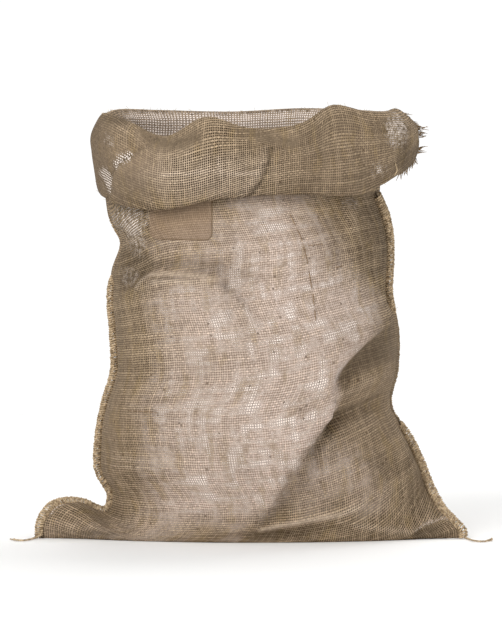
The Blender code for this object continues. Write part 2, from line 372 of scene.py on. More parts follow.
def looped(share):
    """A tail whose plies open into a loop near its end and meet again."""
    return np.sin(np.clip((share - LOOP_FROM) / (LOOP_TO - LOOP_FROM), 0, 1) * math.pi)


# %% Make the tails
for name, route, parted in (("twine_left", LEFT_TAIL, forked),
                            ("twine_right", RIGHT_TAIL, looped)):
    flat = smooth_route(route, TAIL_STEPS)
    line = np.column_stack([flat, np.full(len(flat), TAIL_HEIGHT)])
    tail = strands(name, plies(line, parted), PLY_RADIUS, twine, resolution=2)
    length = float(run_along(line)[-1])
    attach(tail, "root")
    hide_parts("twine_tail_" + name.split("_")[1])
    print(name, "is", round(length * 1000, 1), "mm long")

# %% [markdown]
# ## The shape of the sack
# The cloth is one tube, closed by a fold at the bottom. It could be sculpted, or dropped as a
# simulated cloth, but then no edge would fall exactly where it should. Here each row of the
# first table is a level of the cloth: how far its section reaches to each side, how boxy it is,
# and where the side seams lie on it. The tables are the CAD model's own, so the cloth lies on
# its solid.

# %% Levels of the body
Level = namedtuple("Level", "height left right front seam_y back corner left_turn right_turn")
LEVELS = [
    Level(0.000, -0.2425, 0.2425, -0.055, -0.055, -0.055, 1.60, 0.000, 0.000),
    Level(0.000, -0.2415, 0.2415, -0.082, -0.055, -0.026, 1.60, 0.000, 0.000),
    Level(0.000, -0.2360, 0.2365, -0.094, -0.052, 0.018, 1.60, 0.000, 0.000),
    Level(0.000, -0.2225, 0.2290, -0.102, -0.046, 0.058, 1.60, 0.000, 0.000),
    Level(0.007, -0.1965, 0.2180, -0.110, -0.038, 0.088, 1.50, 0.000, 0.000),
    Level(0.024, -0.1680, 0.2070, -0.117, -0.028, 0.106, 1.30, 0.000, 0.002),
    Level(0.048, -0.1605, 0.2000, -0.122, -0.017, 0.118, 1.05, 0.000, 0.004),
    Level(0.076, -0.1750, 0.1940, -0.128, -0.008, 0.128, 0.95, 0.002, 0.005),
    Level(0.112, -0.1745, 0.1810, -0.134, -0.003, 0.134, 0.88, 0.002, 0.004),
    Level(0.148, -0.1680, 0.1590, -0.137, 0.000, 0.137, 0.84, 0.002, -0.006),
    Level(0.190, -0.1565, 0.1665, -0.138, 0.000, 0.138, 0.82, 0.002, -0.012),
    Level(0.235, -0.1580, 0.1665, -0.139, 0.000, 0.138, 0.82, 0.002, -0.004),
    Level(0.275, -0.1605, 0.1580, -0.136, 0.000, 0.134, 0.84, 0.000, 0.010),
    Level(0.305, -0.1555, 0.1585, -0.130, 0.000, 0.129, 0.86, -0.010, 0.014),
    Level(0.335, -0.1475, 0.1595, -0.124, 0.000, 0.124, 0.88, -0.014, 0.017),
    Level(0.362, -0.1600, 0.1570, -0.118, 0.000, 0.118, 0.90, -0.016, 0.022),
    Level(0.392, -0.1635, 0.1485, -0.113, 0.000, 0.113, 0.92, -0.012, 0.032),
]
FLAT_ON_GROUND = 0.0012     # what is lower than this lies on the ground
print("levels of the body:", len(LEVELS))

# %% How the seams climb over the ears
# A lift is how much higher than its level a ring stands at a seam, and a reach is how far along
# the ring that is felt. There is a row for each of the lowest levels.
Climb = namedtuple("Climb", "left_lift left_reach right_lift right_reach")
CLIMBS = [
    Climb(0.000, 0.030, 0.000, 0.030),
    Climb(0.015, 0.045, 0.009, 0.042),
    Climb(0.028, 0.055, 0.015, 0.048),
    Climb(0.039, 0.060, 0.022, 0.050),
    Climb(0.033, 0.042, 0.027, 0.050),
    Climb(0.005, 0.026, 0.030, 0.050),
    Climb(0.000, 0.030, 0.022, 0.050),
    Climb(0.000, 0.030, 0.010, 0.050),
]
LEVEL_HERE = Climb(0.000, 0.030, 0.000, 0.050)
print("levels that climb:", len(CLIMBS))

# %% [markdown]
# The mouth has a table of its own. It runs round the rim from the left seam, past the front, the
# right seam and the back, and says how high the rim is and how the cuff hangs there: how far it
# stands out, how low it comes and where its raw edge is tucked away.

# %% Places round the mouth
Mouth = namedtuple("Mouth", "around rim_z rim_in reach reach_z low_out low_z edge_out edge_z")
MOUTH = [
    Mouth(0.00, 0.484, 0.006, 0.021, 0.448, 0.012, 0.402, 0.006, 0.432),
    Mouth(0.10, 0.484, 0.003, 0.023, 0.442, 0.012, 0.391, 0.006, 0.425),
    Mouth(0.22, 0.477, 0.000, 0.023, 0.425, 0.014, 0.382, 0.006, 0.418),
    Mouth(0.34, 0.460, 0.004, 0.025, 0.420, 0.014, 0.379, 0.007, 0.416),
    Mouth(0.45, 0.482, 0.002, 0.024, 0.430, 0.013, 0.389, 0.007, 0.424),
    Mouth(0.56, 0.470, 0.004, 0.023, 0.430, 0.013, 0.395, 0.007, 0.428),
    Mouth(0.70, 0.474, 0.002, 0.023, 0.435, 0.013, 0.397, 0.007, 0.430),
    Mouth(0.82, 0.495, 0.016, 0.023, 0.440, 0.013, 0.395, 0.007, 0.430),
    Mouth(0.91, 0.487, 0.002, 0.023, 0.445, 0.014, 0.399, 0.008, 0.428),
    Mouth(1.00, 0.486, 0.000, 0.035, 0.452, 0.030, 0.421, 0.024, 0.417),
    Mouth(1.08, 0.489, 0.000, 0.043, 0.464, 0.043, 0.446, 0.041, 0.435),
    Mouth(1.16, 0.485, 0.000, 0.037, 0.468, 0.040, 0.453, 0.038, 0.445),
    Mouth(1.27, 0.486, 0.000, 0.024, 0.440, 0.017, 0.400, 0.010, 0.424),
    Mouth(1.40, 0.487, 0.000, 0.022, 0.435, 0.014, 0.391, 0.006, 0.424),
    Mouth(1.58, 0.483, 0.003, 0.022, 0.432, 0.014, 0.388, 0.006, 0.422),
    Mouth(1.76, 0.485, 0.000, 0.022, 0.432, 0.014, 0.391, 0.006, 0.424),
    Mouth(1.90, 0.487, 0.003, 0.020, 0.440, 0.012, 0.396, 0.006, 0.428),
]
WALL_BELOW_RIM = 0.010
SHOULDER_DROP = 0.012
RIM_SHARE, SHOULDER_SHARE = 0.40, 0.82
CUFF_STOPS = (0.00, 0.11, 0.25, 0.50, 0.76, 1.00)
print("places round the mouth:", len(MOUTH))

# %% [markdown]
# ## How fine the cloth is
# The cloth is a grid: columns run round the sack, as many across the back as across the front so
# that the bottom fold can be welded, and rows run up it, over the rim and down the cuff. That
# gives a face about every four millimetres, which is fine enough for a soft crease.

# %% Columns and rows
PANEL_COLUMNS = 125         # across the front, and as many across the back
BODY_ROWS = 134
WALL_ROWS = 14
CUFF_ROWS = 46
COLUMNS = 2 * PANEL_COLUMNS
CUFF_START = BODY_ROWS + WALL_ROWS      # the last row of the wall
ROWS = CUFF_START + CUFF_ROWS
around = np.linspace(0, 2, COLUMNS, endpoint=False)
print("grid of", COLUMNS, "columns and", ROWS, "rows")


# %% Rings of the body
HALF_TURN = 180             # steps round half of a ring


def table_row(kind, table, row):
    """A row of a table, at a row number that may lie between two rows."""
    rows = np.arange(len(table))
    return kind(*[float(smooth_value(np.array(row), rows, column)) for column in zip(*table)])


def cloth_ring(row):
    """The ring of cloth at a level, from the left seam round the front to the back."""
    level = table_row(Level, LEVELS, row)
    climbs = CLIMBS + [LEVEL_HERE] * (len(LEVELS) - len(CLIMBS))
    climb = table_row(Climb, climbs, row)
    turn = np.linspace(0, 2 * math.pi, 2 * HALF_TURN + 1)
    bow = np.sign(np.cos(turn)) * np.abs(np.cos(turn)) ** min(1.0, level.corner)
    x = (level.left + level.right) / 2 - (level.right - level.left) / 2 * bow
    depth = np.where(turn < math.pi, level.front, level.back) - level.seam_y
    y = level.seam_y + depth * np.abs(np.sin(turn)) ** level.corner
    run = run_along(np.column_stack([x, y]))
    half_way, whole = run[HALF_TURN], run[-1]

    left_seam, right_seam = level.left_turn, half_way - level.right_turn
    front = np.linspace(left_seam, right_seam, PANEL_COLUMNS + 1)[:-1]
    back = np.linspace(right_seam, left_seam + whole, PANEL_COLUMNS + 1)[:-1]
    places = np.concatenate([front, back])
    ring = np.stack([np.interp(places % whole, run, x), np.interp(places % whole, run, y)])
    from_left = np.minimum(np.abs(places - left_seam), left_seam + whole - places)
    from_right = np.abs(places - right_seam)
    z = (level.height + climb.left_lift * np.exp(-(from_left / climb.left_reach) ** 2)
         + climb.right_lift * np.exp(-(from_right / climb.right_reach) ** 2))
    z[z < FLAT_ON_GROUND] = 0.0
    return np.stack([*ring, z], axis=1)


def outward(ring):
    """The level direction that points out of a ring at each of its points."""
    along = np.roll(ring, -1, axis=0) - np.roll(ring, 1, axis=0)
    return unit(np.stack([along[:, 1], -along[:, 0], np.zeros(len(ring))], axis=1))


# %% Space the rings of the body evenly
TRIAL_RINGS = 81
coarse = np.linspace(0, len(LEVELS) - 1, TRIAL_RINGS)
trial = np.stack([cloth_ring(row) for row in coarse])
climbed = np.median(np.linalg.norm(np.diff(trial, axis=0), axis=2), axis=1)
climbed = np.concatenate([[0], np.cumsum(climbed)])
even_rows = np.interp(np.linspace(0, climbed[-1], BODY_ROWS + 1), climbed, coarse)
body = [cloth_ring(row) for row in even_rows]
print("rings of the body:", len(body), "every", round(climbed[-1] / BODY_ROWS * 1000, 1), "mm")


# %% Rings of the wall and the cuff
def mouth_rings(neck):
    """The rings of cloth above the neck: the wall, the rim and the cuff."""
    out = outward(neck)
    places = [mouth.around for mouth in MOUTH]
    shape = Mouth(*[smooth_value(around, places, column, period=2.0) for column in zip(*MOUTH)])
    wall_top = shape.rim_z - WALL_BELOW_RIM
    rings = []
    for share in np.arange(1, WALL_ROWS + 1) / WALL_ROWS:
        ring = neck - out * (shape.rim_in * eased(share))[:, None]
        ring[:, 2] = neck[:, 2] + (wall_top - neck[:, 2]) * share
        rings.append(ring)

    away = np.stack([0 * around, RIM_SHARE * shape.reach, SHOULDER_SHARE * shape.reach,
                     shape.reach, shape.low_out, shape.edge_out])
    height = np.stack([wall_top, shape.rim_z, shape.rim_z - SHOULDER_DROP, shape.reach_z,
                       shape.low_z, shape.edge_z])
    for share in np.arange(1, CUFF_ROWS + 1) / CUFF_ROWS:
        z = np.array([smooth_value(share, CUFF_STOPS, column) for column in height.T])
        distance = np.array([smooth_value(share, CUFF_STOPS, column) for column in away.T])
        wall_in = shape.rim_in * eased((z - neck[:, 2]) / (wall_top - neck[:, 2]))
        ring = neck + out * (distance - wall_in)[:, None]
        ring[:, 2] = z
        rings.append(ring)
    return rings


neck_out = outward(body[-1])
places = np.stack(body + mouth_rings(body[-1]))
out_ways = np.stack([outward(ring) for ring in body] + [neck_out] * (WALL_ROWS + CUFF_ROWS))
print("rings in all:", len(places))

# %% [markdown]
# ## The cloth laid flat
# The weave follows the cloth, so each point needs its place on the flat length: how far it is
# across, and how far along from the bottom fold. The sheet's own sizes give both.

# %% Measure the flat cloth
steps_up = np.linalg.norm(np.diff(places, axis=0), axis=2)
flat_up = np.concatenate([[0], np.cumsum(np.median(steps_up, axis=1))])
ring_steps = np.linalg.norm(np.roll(places, -1, axis=1) - places, axis=2)
panel_width = float(ring_steps[BODY_ROWS // 3:BODY_ROWS].sum(axis=1).mean() / 2)
flat_across = np.append(around, 2.0) * panel_width
print("panel", round(panel_width, 3), "m wide and", round(float(flat_up[-1]), 3), "m deep")

# %% [markdown]
# ## Folds and creases
# A fold is a line across the cloth with the cloth falling in on one side of it, the left side as
# one goes along the line, and it fades out a hand's width away. A crease is narrower: a soft
# trough or ridge along a line, with painted shade in a trough and a painted highlight along a
# ridge.
# Both are given in the sack's own sizes, as seen from straight in front of it.

# %% Folds
# depth is how far the cloth falls in, edge is how wide the soft edge is that it falls over, and
# reach is how far away it has come out again.
Fold = namedtuple("Fold", "name part line depth edge reach")
FOLDS = [
    Fold("upper slant", "front",
         [(0.190, 0.256), (0.1715, 0.248), (0.134, 0.2234), (0.111, 0.2007), (0.0985, 0.1848),
          (0.0970, 0.1643)], 0.018, 0.015, 0.050),
    Fold("lower slant", "front",
         [(0.178, 0.167), (0.165, 0.1690), (0.137, 0.1575), (0.107, 0.1470), (0.0905, 0.1335),
          (0.0770, 0.1185), (0.061, 0.096), (0.0420, 0.0680)], 0.014, 0.013, 0.055),
    Fold("soft end of the slant", "front",
         [(0.061, 0.096), (0.0420, 0.0680), (0.0310, 0.046), (0.017, 0.0274),
          (-0.001, 0.0155)], 0.005, 0.030, 0.060),
    Fold("ledge under the shoulder", "front",
         [(-0.146, 0.280), (-0.134, 0.290), (-0.112, 0.3035), (-0.040, 0.3025),
          (-0.028, 0.295), (-0.018, 0.284)], 0.010, 0.010, 0.034),
    Fold("low ledge", "front",
         [(-0.168, 0.093), (-0.130, 0.0925), (-0.090, 0.0915), (-0.070, 0.0925)],
         0.005, 0.008, 0.022),
    Fold("roll along the ground", "front",
         [(0.130, 0.043), (0.101, 0.031), (0.0715, 0.0255), (0.045, 0.021), (0.019, 0.0155),
          (-0.010, 0.012)], 0.004, 0.007, 0.030),
    Fold("cuff roll", "cuff",
         [(-0.1645, 0.390), (-0.1625, 0.396), (-0.1568, 0.4188), (-0.150, 0.430),
          (-0.141, 0.4358), (-0.132, 0.441)], 0.010, 0.005, 0.035),
    Fold("back slant", "back",
         [(-0.160, 0.120), (-0.080, 0.185), (0.000, 0.235), (0.090, 0.262)],
         0.012, 0.020, 0.060),
    Fold("back ledge", "back",
         [(0.150, 0.330), (0.090, 0.318), (0.020, 0.325), (-0.060, 0.345)],
         0.009, 0.016, 0.045),
]
print("folds:", [fold.name for fold in FOLDS])

# %% Creases of the front
# depth is how far the crease goes in, or how far it stands out where it is below 0, wide is half
# its width, and the last column is how much painted shade lies in it, or how strong a painted
# highlight lies along it where it is below 0.
Crease = namedtuple("Crease", "part line depth wide soil")
CREASES = [
    # The ledge under the left shoulder, with its two pale lines of painted highlight and the
    # hollow above in painted shade.
    Crease("front", [(-0.130, 0.291), (-0.118, 0.3035), (-0.094, 0.3058), (-0.056, 0.3032),
                     (-0.037, 0.2990)], -0.0040, 0.0030, -1.0),
    Crease("front", [(-0.112, 0.2962), (-0.080, 0.2968), (-0.050, 0.2958)],
           -0.0020, 0.0022, -0.9),
    Crease("front", [(-0.116, 0.2998), (-0.080, 0.3012), (-0.050, 0.2995)],
           0.0020, 0.0022, 0.70),
    Crease("front", [(-0.126, 0.3110), (-0.110, 0.3160), (-0.070, 0.3160), (-0.037, 0.3110)],
           0.0040, 0.0070, 0.45),
    Crease("front", [(-0.037, 0.3130), (-0.022, 0.3045), (0.000, 0.3020), (0.017, 0.2985)],
           0.0030, 0.0065, 0.35),
    Crease("front", [(-0.040, 0.2995), (-0.033, 0.2955), (-0.0275, 0.2890)],
           0.0050, 0.0034, 0.9),
    Crease("front", [(-0.0275, 0.289), (-0.026, 0.275), (-0.023, 0.258)],
           0.0026, 0.0034, 0.40),
    # Dents down the left side.
    Crease("front", [(-0.150, 0.300), (-0.138, 0.309), (-0.128, 0.3165)],
           0.0070, 0.0095, 0.50),
    Crease("front", [(-0.154, 0.352), (-0.146, 0.338), (-0.140, 0.324)],
           0.0060, 0.0090, 0.25),
    Crease("front", [(-0.166, 0.0930), (-0.120, 0.0920), (-0.075, 0.0925)],
           -0.0022, 0.0032, -0.5),
    Crease("front", [(-0.160, 0.0850), (-0.110, 0.0840)], -0.0015, 0.0030, -0.4),
    Crease("front", [(-0.165, 0.0890), (-0.110, 0.0880)], 0.0020, 0.0030, 0.35),
    # The roll of cloth that lies along the ground.
    Crease("front", [(0.010, 0.0140), (0.045, 0.0205), (0.0713, 0.0257), (0.101, 0.0310),
                     (0.128, 0.0405)], -0.0048, 0.0034, -1.0),
    Crease("front", [(0.101, 0.0223), (0.142, 0.0140), (0.182, 0.0091)],
           -0.0030, 0.0040, -0.4),
    Crease("front", [(0.010, 0.007), (0.060, 0.012), (0.110, 0.018)], 0.0030, 0.0060, 0.35),
    # The valleys on the right.
    Crease("front", [(0.172, 0.236), (0.150, 0.219), (0.138, 0.210), (0.112, 0.190)],
           0.0062, 0.0120, 1.0),
    Crease("front", [(0.102, 0.166), (0.122, 0.176), (0.158, 0.190)], -0.0050, 0.0080, -0.30),
    Crease("front", [(0.158, 0.168), (0.140, 0.158), (0.122, 0.149), (0.106, 0.1415),
                     (0.092, 0.129)], 0.0055, 0.0065, 0.85),
    Crease("front", [(0.094, 0.130), (0.081, 0.117), (0.070, 0.104)], 0.0040, 0.0070, 0.75),
    Crease("front", [(0.158, 0.140), (0.125, 0.133), (0.096, 0.118)], -0.0030, 0.0110, -0.12),
    Crease("front", [(0.162, 0.083), (0.145, 0.090), (0.130, 0.096)], 0.0040, 0.0100, 0.45),
    Crease("front", [(0.036, 0.052), (0.030, 0.038), (0.014, 0.024)], 0.0030, 0.0080, 0.40),
    Crease("front", [(0.098, 0.392), (0.100, 0.355), (0.104, 0.325)], 0.0045, 0.0100, 0.35),
    Crease("front", [(0.128, 0.392), (0.134, 0.350), (0.138, 0.310)], 0.0040, 0.0120, 0.25),
    Crease("front", [(0.114, 0.392), (0.117, 0.355)], -0.0030, 0.0070, -0.15),
    # The cloth dips before it reaches the side seams.
    Crease("front", [(-0.155, 0.292), (-0.152, 0.255), (-0.152, 0.215), (-0.157, 0.180),
                     (-0.166, 0.145), (-0.169, 0.120), (-0.165, 0.090)],
           0.0040, 0.0050, 0.60),
    Crease("front", [(0.147, 0.388), (0.153, 0.340), (0.149, 0.290)], 0.0035, 0.0045, 0.45),
    Crease("front", [(0.168, 0.135), (0.184, 0.105), (0.199, 0.070), (0.213, 0.042)],
           0.0035, 0.0048, 0.45),
    # The left ear is twisted, and the right one is tucked under.
    Crease("front", [(-0.170, 0.042), (-0.158, 0.028), (-0.140, 0.0155)],
           0.0050, 0.0060, 0.55),
    Crease("front", [(-0.196, 0.035), (-0.180, 0.026), (-0.164, 0.0190)],
           0.0030, 0.0045, 0.35),
    Crease("front", [(-0.186, 0.038), (-0.170, 0.027), (-0.152, 0.0170)],
           -0.0030, 0.0045, -0.2),
    Crease("front", [(-0.194, 0.006), (-0.176, 0.0068), (-0.158, 0.006)],
           0.0030, 0.0036, 0.8),
    Crease("front", [(0.189, 0.0055), (0.203, 0.0085), (0.214, 0.0125)],
           0.0050, 0.0045, 0.9),
    Crease("front", [(0.185, 0.0095), (0.200, 0.0180), (0.218, 0.0235), (0.235, 0.0225)],
           -0.0030, 0.0040, -0.2),
]
print("creases of the front:", len(CREASES))

# %% Creases of the cuff and the back
CREASES += [
    # The slanting tuck in the cuff.
    Crease("cuff", [(0.0225, 0.4472), (0.0190, 0.4301), (0.0105, 0.4108), (-0.0040, 0.3935)],
           0.0045, 0.0018, 0.75),
    Crease("cuff", [(0.0160, 0.4472), (0.0120, 0.4301), (0.0035, 0.4108), (-0.010, 0.3960)],
           -0.0030, 0.0045, -0.25),
    # The edge of the roll at the left end of the cuff, dark with painted shade.
    Crease("cuff", [(-0.1665, 0.392), (-0.1645, 0.402), (-0.1600, 0.4188), (-0.1530, 0.4300),
                    (-0.142, 0.4368)], 0.0020, 0.0020, 0.9),
    Crease("cuff", [(-0.160, 0.4770), (-0.151, 0.4795), (-0.140, 0.4785)],
           0.0040, 0.0028, 1.0),
    # The cuff's softer waves.
    Crease("cuff", [(-0.118, 0.462), (-0.087, 0.4515), (-0.058, 0.462)],
           0.0030, 0.0100, 0.20),
    Crease("cuff", [(-0.140, 0.468), (-0.115, 0.455), (-0.098, 0.443)],
           -0.0040, 0.0120, -0.15),
    Crease("cuff", [(-0.118, 0.440), (-0.090, 0.430), (-0.040, 0.434)],
           0.0022, 0.0110, 0.0),
    Crease("cuff", [(0.010, 0.462), (0.050, 0.450), (0.100, 0.452)], 0.0026, 0.0110, 0.15),
    Crease("cuff", [(0.118, 0.455), (0.130, 0.435), (0.140, 0.405)], 0.0050, 0.0090, 0.20),
    Crease("cuff", [(0.060, 0.440), (0.095, 0.425), (0.110, 0.400)], -0.0020, 0.0120, 0.0),
    # Soft folds behind.
    Crease("back", [(-0.120, 0.380), (-0.110, 0.300), (-0.125, 0.220)], 0.0060, 0.0140, 0.25),
    Crease("back", [(0.100, 0.380), (0.115, 0.300), (0.105, 0.200)], 0.0050, 0.0150, 0.20),
    Crease("back", [(-0.100, 0.060), (0.000, 0.080), (0.110, 0.070)], 0.0050, 0.0120, 0.25),
    Crease("back", [(0.020, 0.200), (0.060, 0.150), (0.120, 0.120)], -0.0050, 0.0150, -0.1),
]
print("creases in all:", len(CREASES))


# %% Where a place is from a line
def from_line(x, z, line):
    """How far places are from a line: above 0 on the left as one goes along it."""
    nearest = np.full(x.shape, np.inf)
    past = np.zeros_like(x)
    for (x0, z0), (x1, z1) in zip(line, line[1:]):
        run, rise = x1 - x0, z1 - z0
        share = ((x - x0) * run + (z - z0) * rise) / (run * run + rise * rise)
        share = np.clip(share, 0, 1)
        away_x, away_z = x - x0 - share * run, z - z0 - share * rise
        distance = np.hypot(away_x, away_z)
        side = np.sign(away_z * run - away_x * rise)
        past = np.where(distance < nearest, distance * side, past)
        nearest = np.minimum(distance, nearest)
    return past


# %% The parts of the cloth
flat_places = places.copy()
x, z = flat_places[:, :, 0], flat_places[:, :, 2]
row_number = np.arange(ROWS + 1)[:, None] + np.zeros((1, COLUMNS))
on_cuff = row_number > CUFF_START
on_body = row_number <= BODY_ROWS
faces_front = out_ways[:, :, 1] < 0
FADE_ROWS = 6               # rows over which folds fade out towards the neck and the cuff's edge
ROUND_ROWS = 3              # first rows of the cuff, which stay round
below_neck = eased((BODY_ROWS - row_number) / FADE_ROWS)
along_cuff = (eased((row_number - CUFF_START - ROUND_ROWS) / FADE_ROWS)
              * eased((ROWS - row_number) / FADE_ROWS))
facing = np.abs(out_ways[:, :, 1])
bends = {"front": below_neck * facing * faces_front, "back": below_neck * facing * ~faces_front,
         "cuff": along_cuff * facing * faces_front}
print("points on the cuff:", int(on_cuff.sum()))

# %% Work the folds and creases into the rings
FOLD_FOOT = 0.008           # folds fade out below this height
FOLD_STEPS, CREASE_STEPS = 24, 12
depth = np.zeros_like(x)
soil = np.zeros_like(x)
for fold in FOLDS:
    past = from_line(x, z, smooth_route(fold.line, FOLD_STEPS))
    fallen = eased(past / fold.edge + 0.5) * np.exp(-(np.maximum(past, 0) / fold.reach) ** 2)
    depth += fold.depth * fallen * bends[fold.part] * eased(z / FOLD_FOOT)
for crease in CREASES:
    past = from_line(x, z, smooth_route(crease.line, CREASE_STEPS))
    nearness = np.exp(-(past / crease.wide) ** 2) * bends[crease.part]
    depth += crease.depth * nearness
    soil += crease.soil * nearness
places -= out_ways * depth[:, :, None]
print("deepest fold:", round(float(depth.max()) * 1000, 1), "mm")

# %% [markdown]
# Handling leaves shallow wrinkles all over. Two sizes of smooth noise on the flat cloth move it
# in and out by about a millimetre. The ridge where the panels' edges are sewn together stands
# out along both sides of the body.

# %% Handling wrinkles
BROAD_WRINKLE, FINE_WRINKLE = 0.045, 0.016      # sizes, in metres
BROAD_DEPTH, FINE_DEPTH = 0.0022, 0.0006
WRINKLED_ABOVE = 0.03       # the cloth is pressed smooth towards the ground
off_ground = eased(z / WRINKLED_ABOVE)

for i, up in enumerate(flat_up):
    for k in range(COLUMNS):
        turn = around[k] * math.pi
        spot = Vector((math.cos(turn) * panel_width / math.pi,
                       math.sin(turn) * panel_width / math.pi, up))
        push = (BROAD_DEPTH * noise.noise(spot / BROAD_WRINKLE)
                + FINE_DEPTH * noise.noise(spot / FINE_WRINKLE))
        places[i, k] += out_ways[i, k] * push * off_ground[i, k]
print("rows of wrinkled cloth:", int((off_ground[:, 0] > 0).sum()))

# %% Ridges along the seams
SEAM_RIDGE, RIDGE_HALF_WIDTH = 0.004, 0.0026
SEAM_LOW, SEAM_HIGH = 0.01, 0.06                # the ridge grows between these heights
SEAM_DIP, DIP_HALF_WIDTH = 0.0032, 0.022        # the cloth falls in a little beside the seams
# Between these heights the left and the right seam are turned to the back.
TUCKED_BACK = ((0.302, 0.600), (0.135, 0.250))
TUCK_FADE = 0.02
BESIDE_SEAM = 12            # columns on each side that the ridge and the dip reach
seam_columns = (0, PANEL_COLUMNS)


def tucked_back(column, height):
    """1 where a seam is turned to the back, and 0 where it shows in front."""
    low, high = TUCKED_BACK[seam_columns.index(column)]
    return eased((height - low) / TUCK_FADE + 1) * eased((high - height) / TUCK_FADE + 1)


for i in range(BODY_ROWS + 1):
    for seam in seam_columns:
        height = flat_places[i, seam, 2]
        share = eased((height - SEAM_LOW) / (SEAM_HIGH - SEAM_LOW))
        tucked = tucked_back(seam, height)
        wide = RIDGE_HALF_WIDTH * (1 + 2 * tucked)
        dip = SEAM_DIP * share * (1 - tucked)
        for step in range(-BESIDE_SEAM, BESIDE_SEAM + 1):
            k = (seam + step) % COLUMNS
            gap = abs(around[k] - around[seam])
            gap = min(gap, 2 - gap) * panel_width
            ridge = SEAM_RIDGE * share * math.exp(-(gap / wide) ** 2)
            ridge -= dip * math.exp(-(gap / DIP_HALF_WIDTH) ** 2)
            places[i, k] += out_ways[i, k] * ridge
places[:, :, 2] = np.maximum(places[:, :, 2], 0)
print("highest point:", round(float(places[:, :, 2].max()), 3), "m")

# %% [markdown]
# ## What the weave lets through
# Hessian is so open that light comes through it. On the body the gaps glow with the light that
# gets inside the sack, most in the middle and hardly at all by the seams or where the cloth is
# doubled. Where a single layer stands against the light, as it does round the rim, the gaps are
# plain white. Cutting tens of thousands of real holes would make the mesh far too heavy, so the
# gaps are drawn, and this light, like the shade of the folds, is painted on the points of the
# cloth
# as values: glow and bright, which are painted light; open, which widens the gaps or closes them
# where it is below 0; one for painted shade in the folds, creases and hollows; one for rubbed
# wear and for painted highlights along ridges; and plain, where the yarns run together into even
# cloth. The glow of the front is a small table of tenths, with painted shade below 0, and the
# rest are ovals and lines.

# %% How much the body glows
GLOW_ACROSS = (-0.162, -0.137, -0.115, -0.086, -0.052, -0.012, 0.027, 0.067, 0.101, 0.130, 0.158,
               0.192)
GLOW_TABLE = {      # height: tenths of full glow at each place across, or of painted shade below 0
    0.390: (-2, -2, -3, -4, -2, 3, 5, 2, -3, -6, -10, -10),
    0.368: (-2, -1, -1, -1, 1, 5, 7, 4, -1, -3, -10, -10),
    0.339: (-2, 0, 1, 3, 4, 6, 9, 6, 2, -2, -8, -8),
    0.311: (-2, -4, 1, 1, 3, 5, 9, 7, 4, -1, -7, -7),
    0.277: (-2, -1, 2, 6, 7, 7, 9, 9, 9, 6, -1, -4),
    0.237: (-3, -2, 1, 4, 9, 6, 9, 9, 7, 8, -1, -4),
    0.197: (-3, -2, 0, 6, 5, 8, 9, 9, 10, 4, -7, -9),
    0.158: (-2, 1, 3, 6, 7, 9, 10, 8, 10, 4, -6, -9),
    0.118: (-2, -1, 3, 7, 7, 8, 10, 10, 8, 4, -3, -9),
    0.084: (-2, 0, 3, 5, 9, 8, 10, 8, 5, 4, -2, -4),
    0.044: (-2, -2, 3, 8, 9, 6, 10, 7, 8, 6, 0, -4),
    0.016: (1, 2, 3, 2, 0, 3, 1, 3, 2, 3, 3, -3),
}
# The cloth to the right of this line is in the shade of the big folds.
SHADE_SIDE = [(0.172, 0.248), (0.134, 0.2234), (0.113, 0.2007), (0.1065, 0.1848),
              (0.1070, 0.1643), (0.1060, 0.1490), (0.0925, 0.1335), (0.0770, 0.1185),
              (0.0610, 0.0960), (0.0420, 0.0680), (0.0310, 0.0460), (0.017, 0.0274),
              (-0.002, 0.010)]
print("rows of the glow table:", len(GLOW_TABLE))

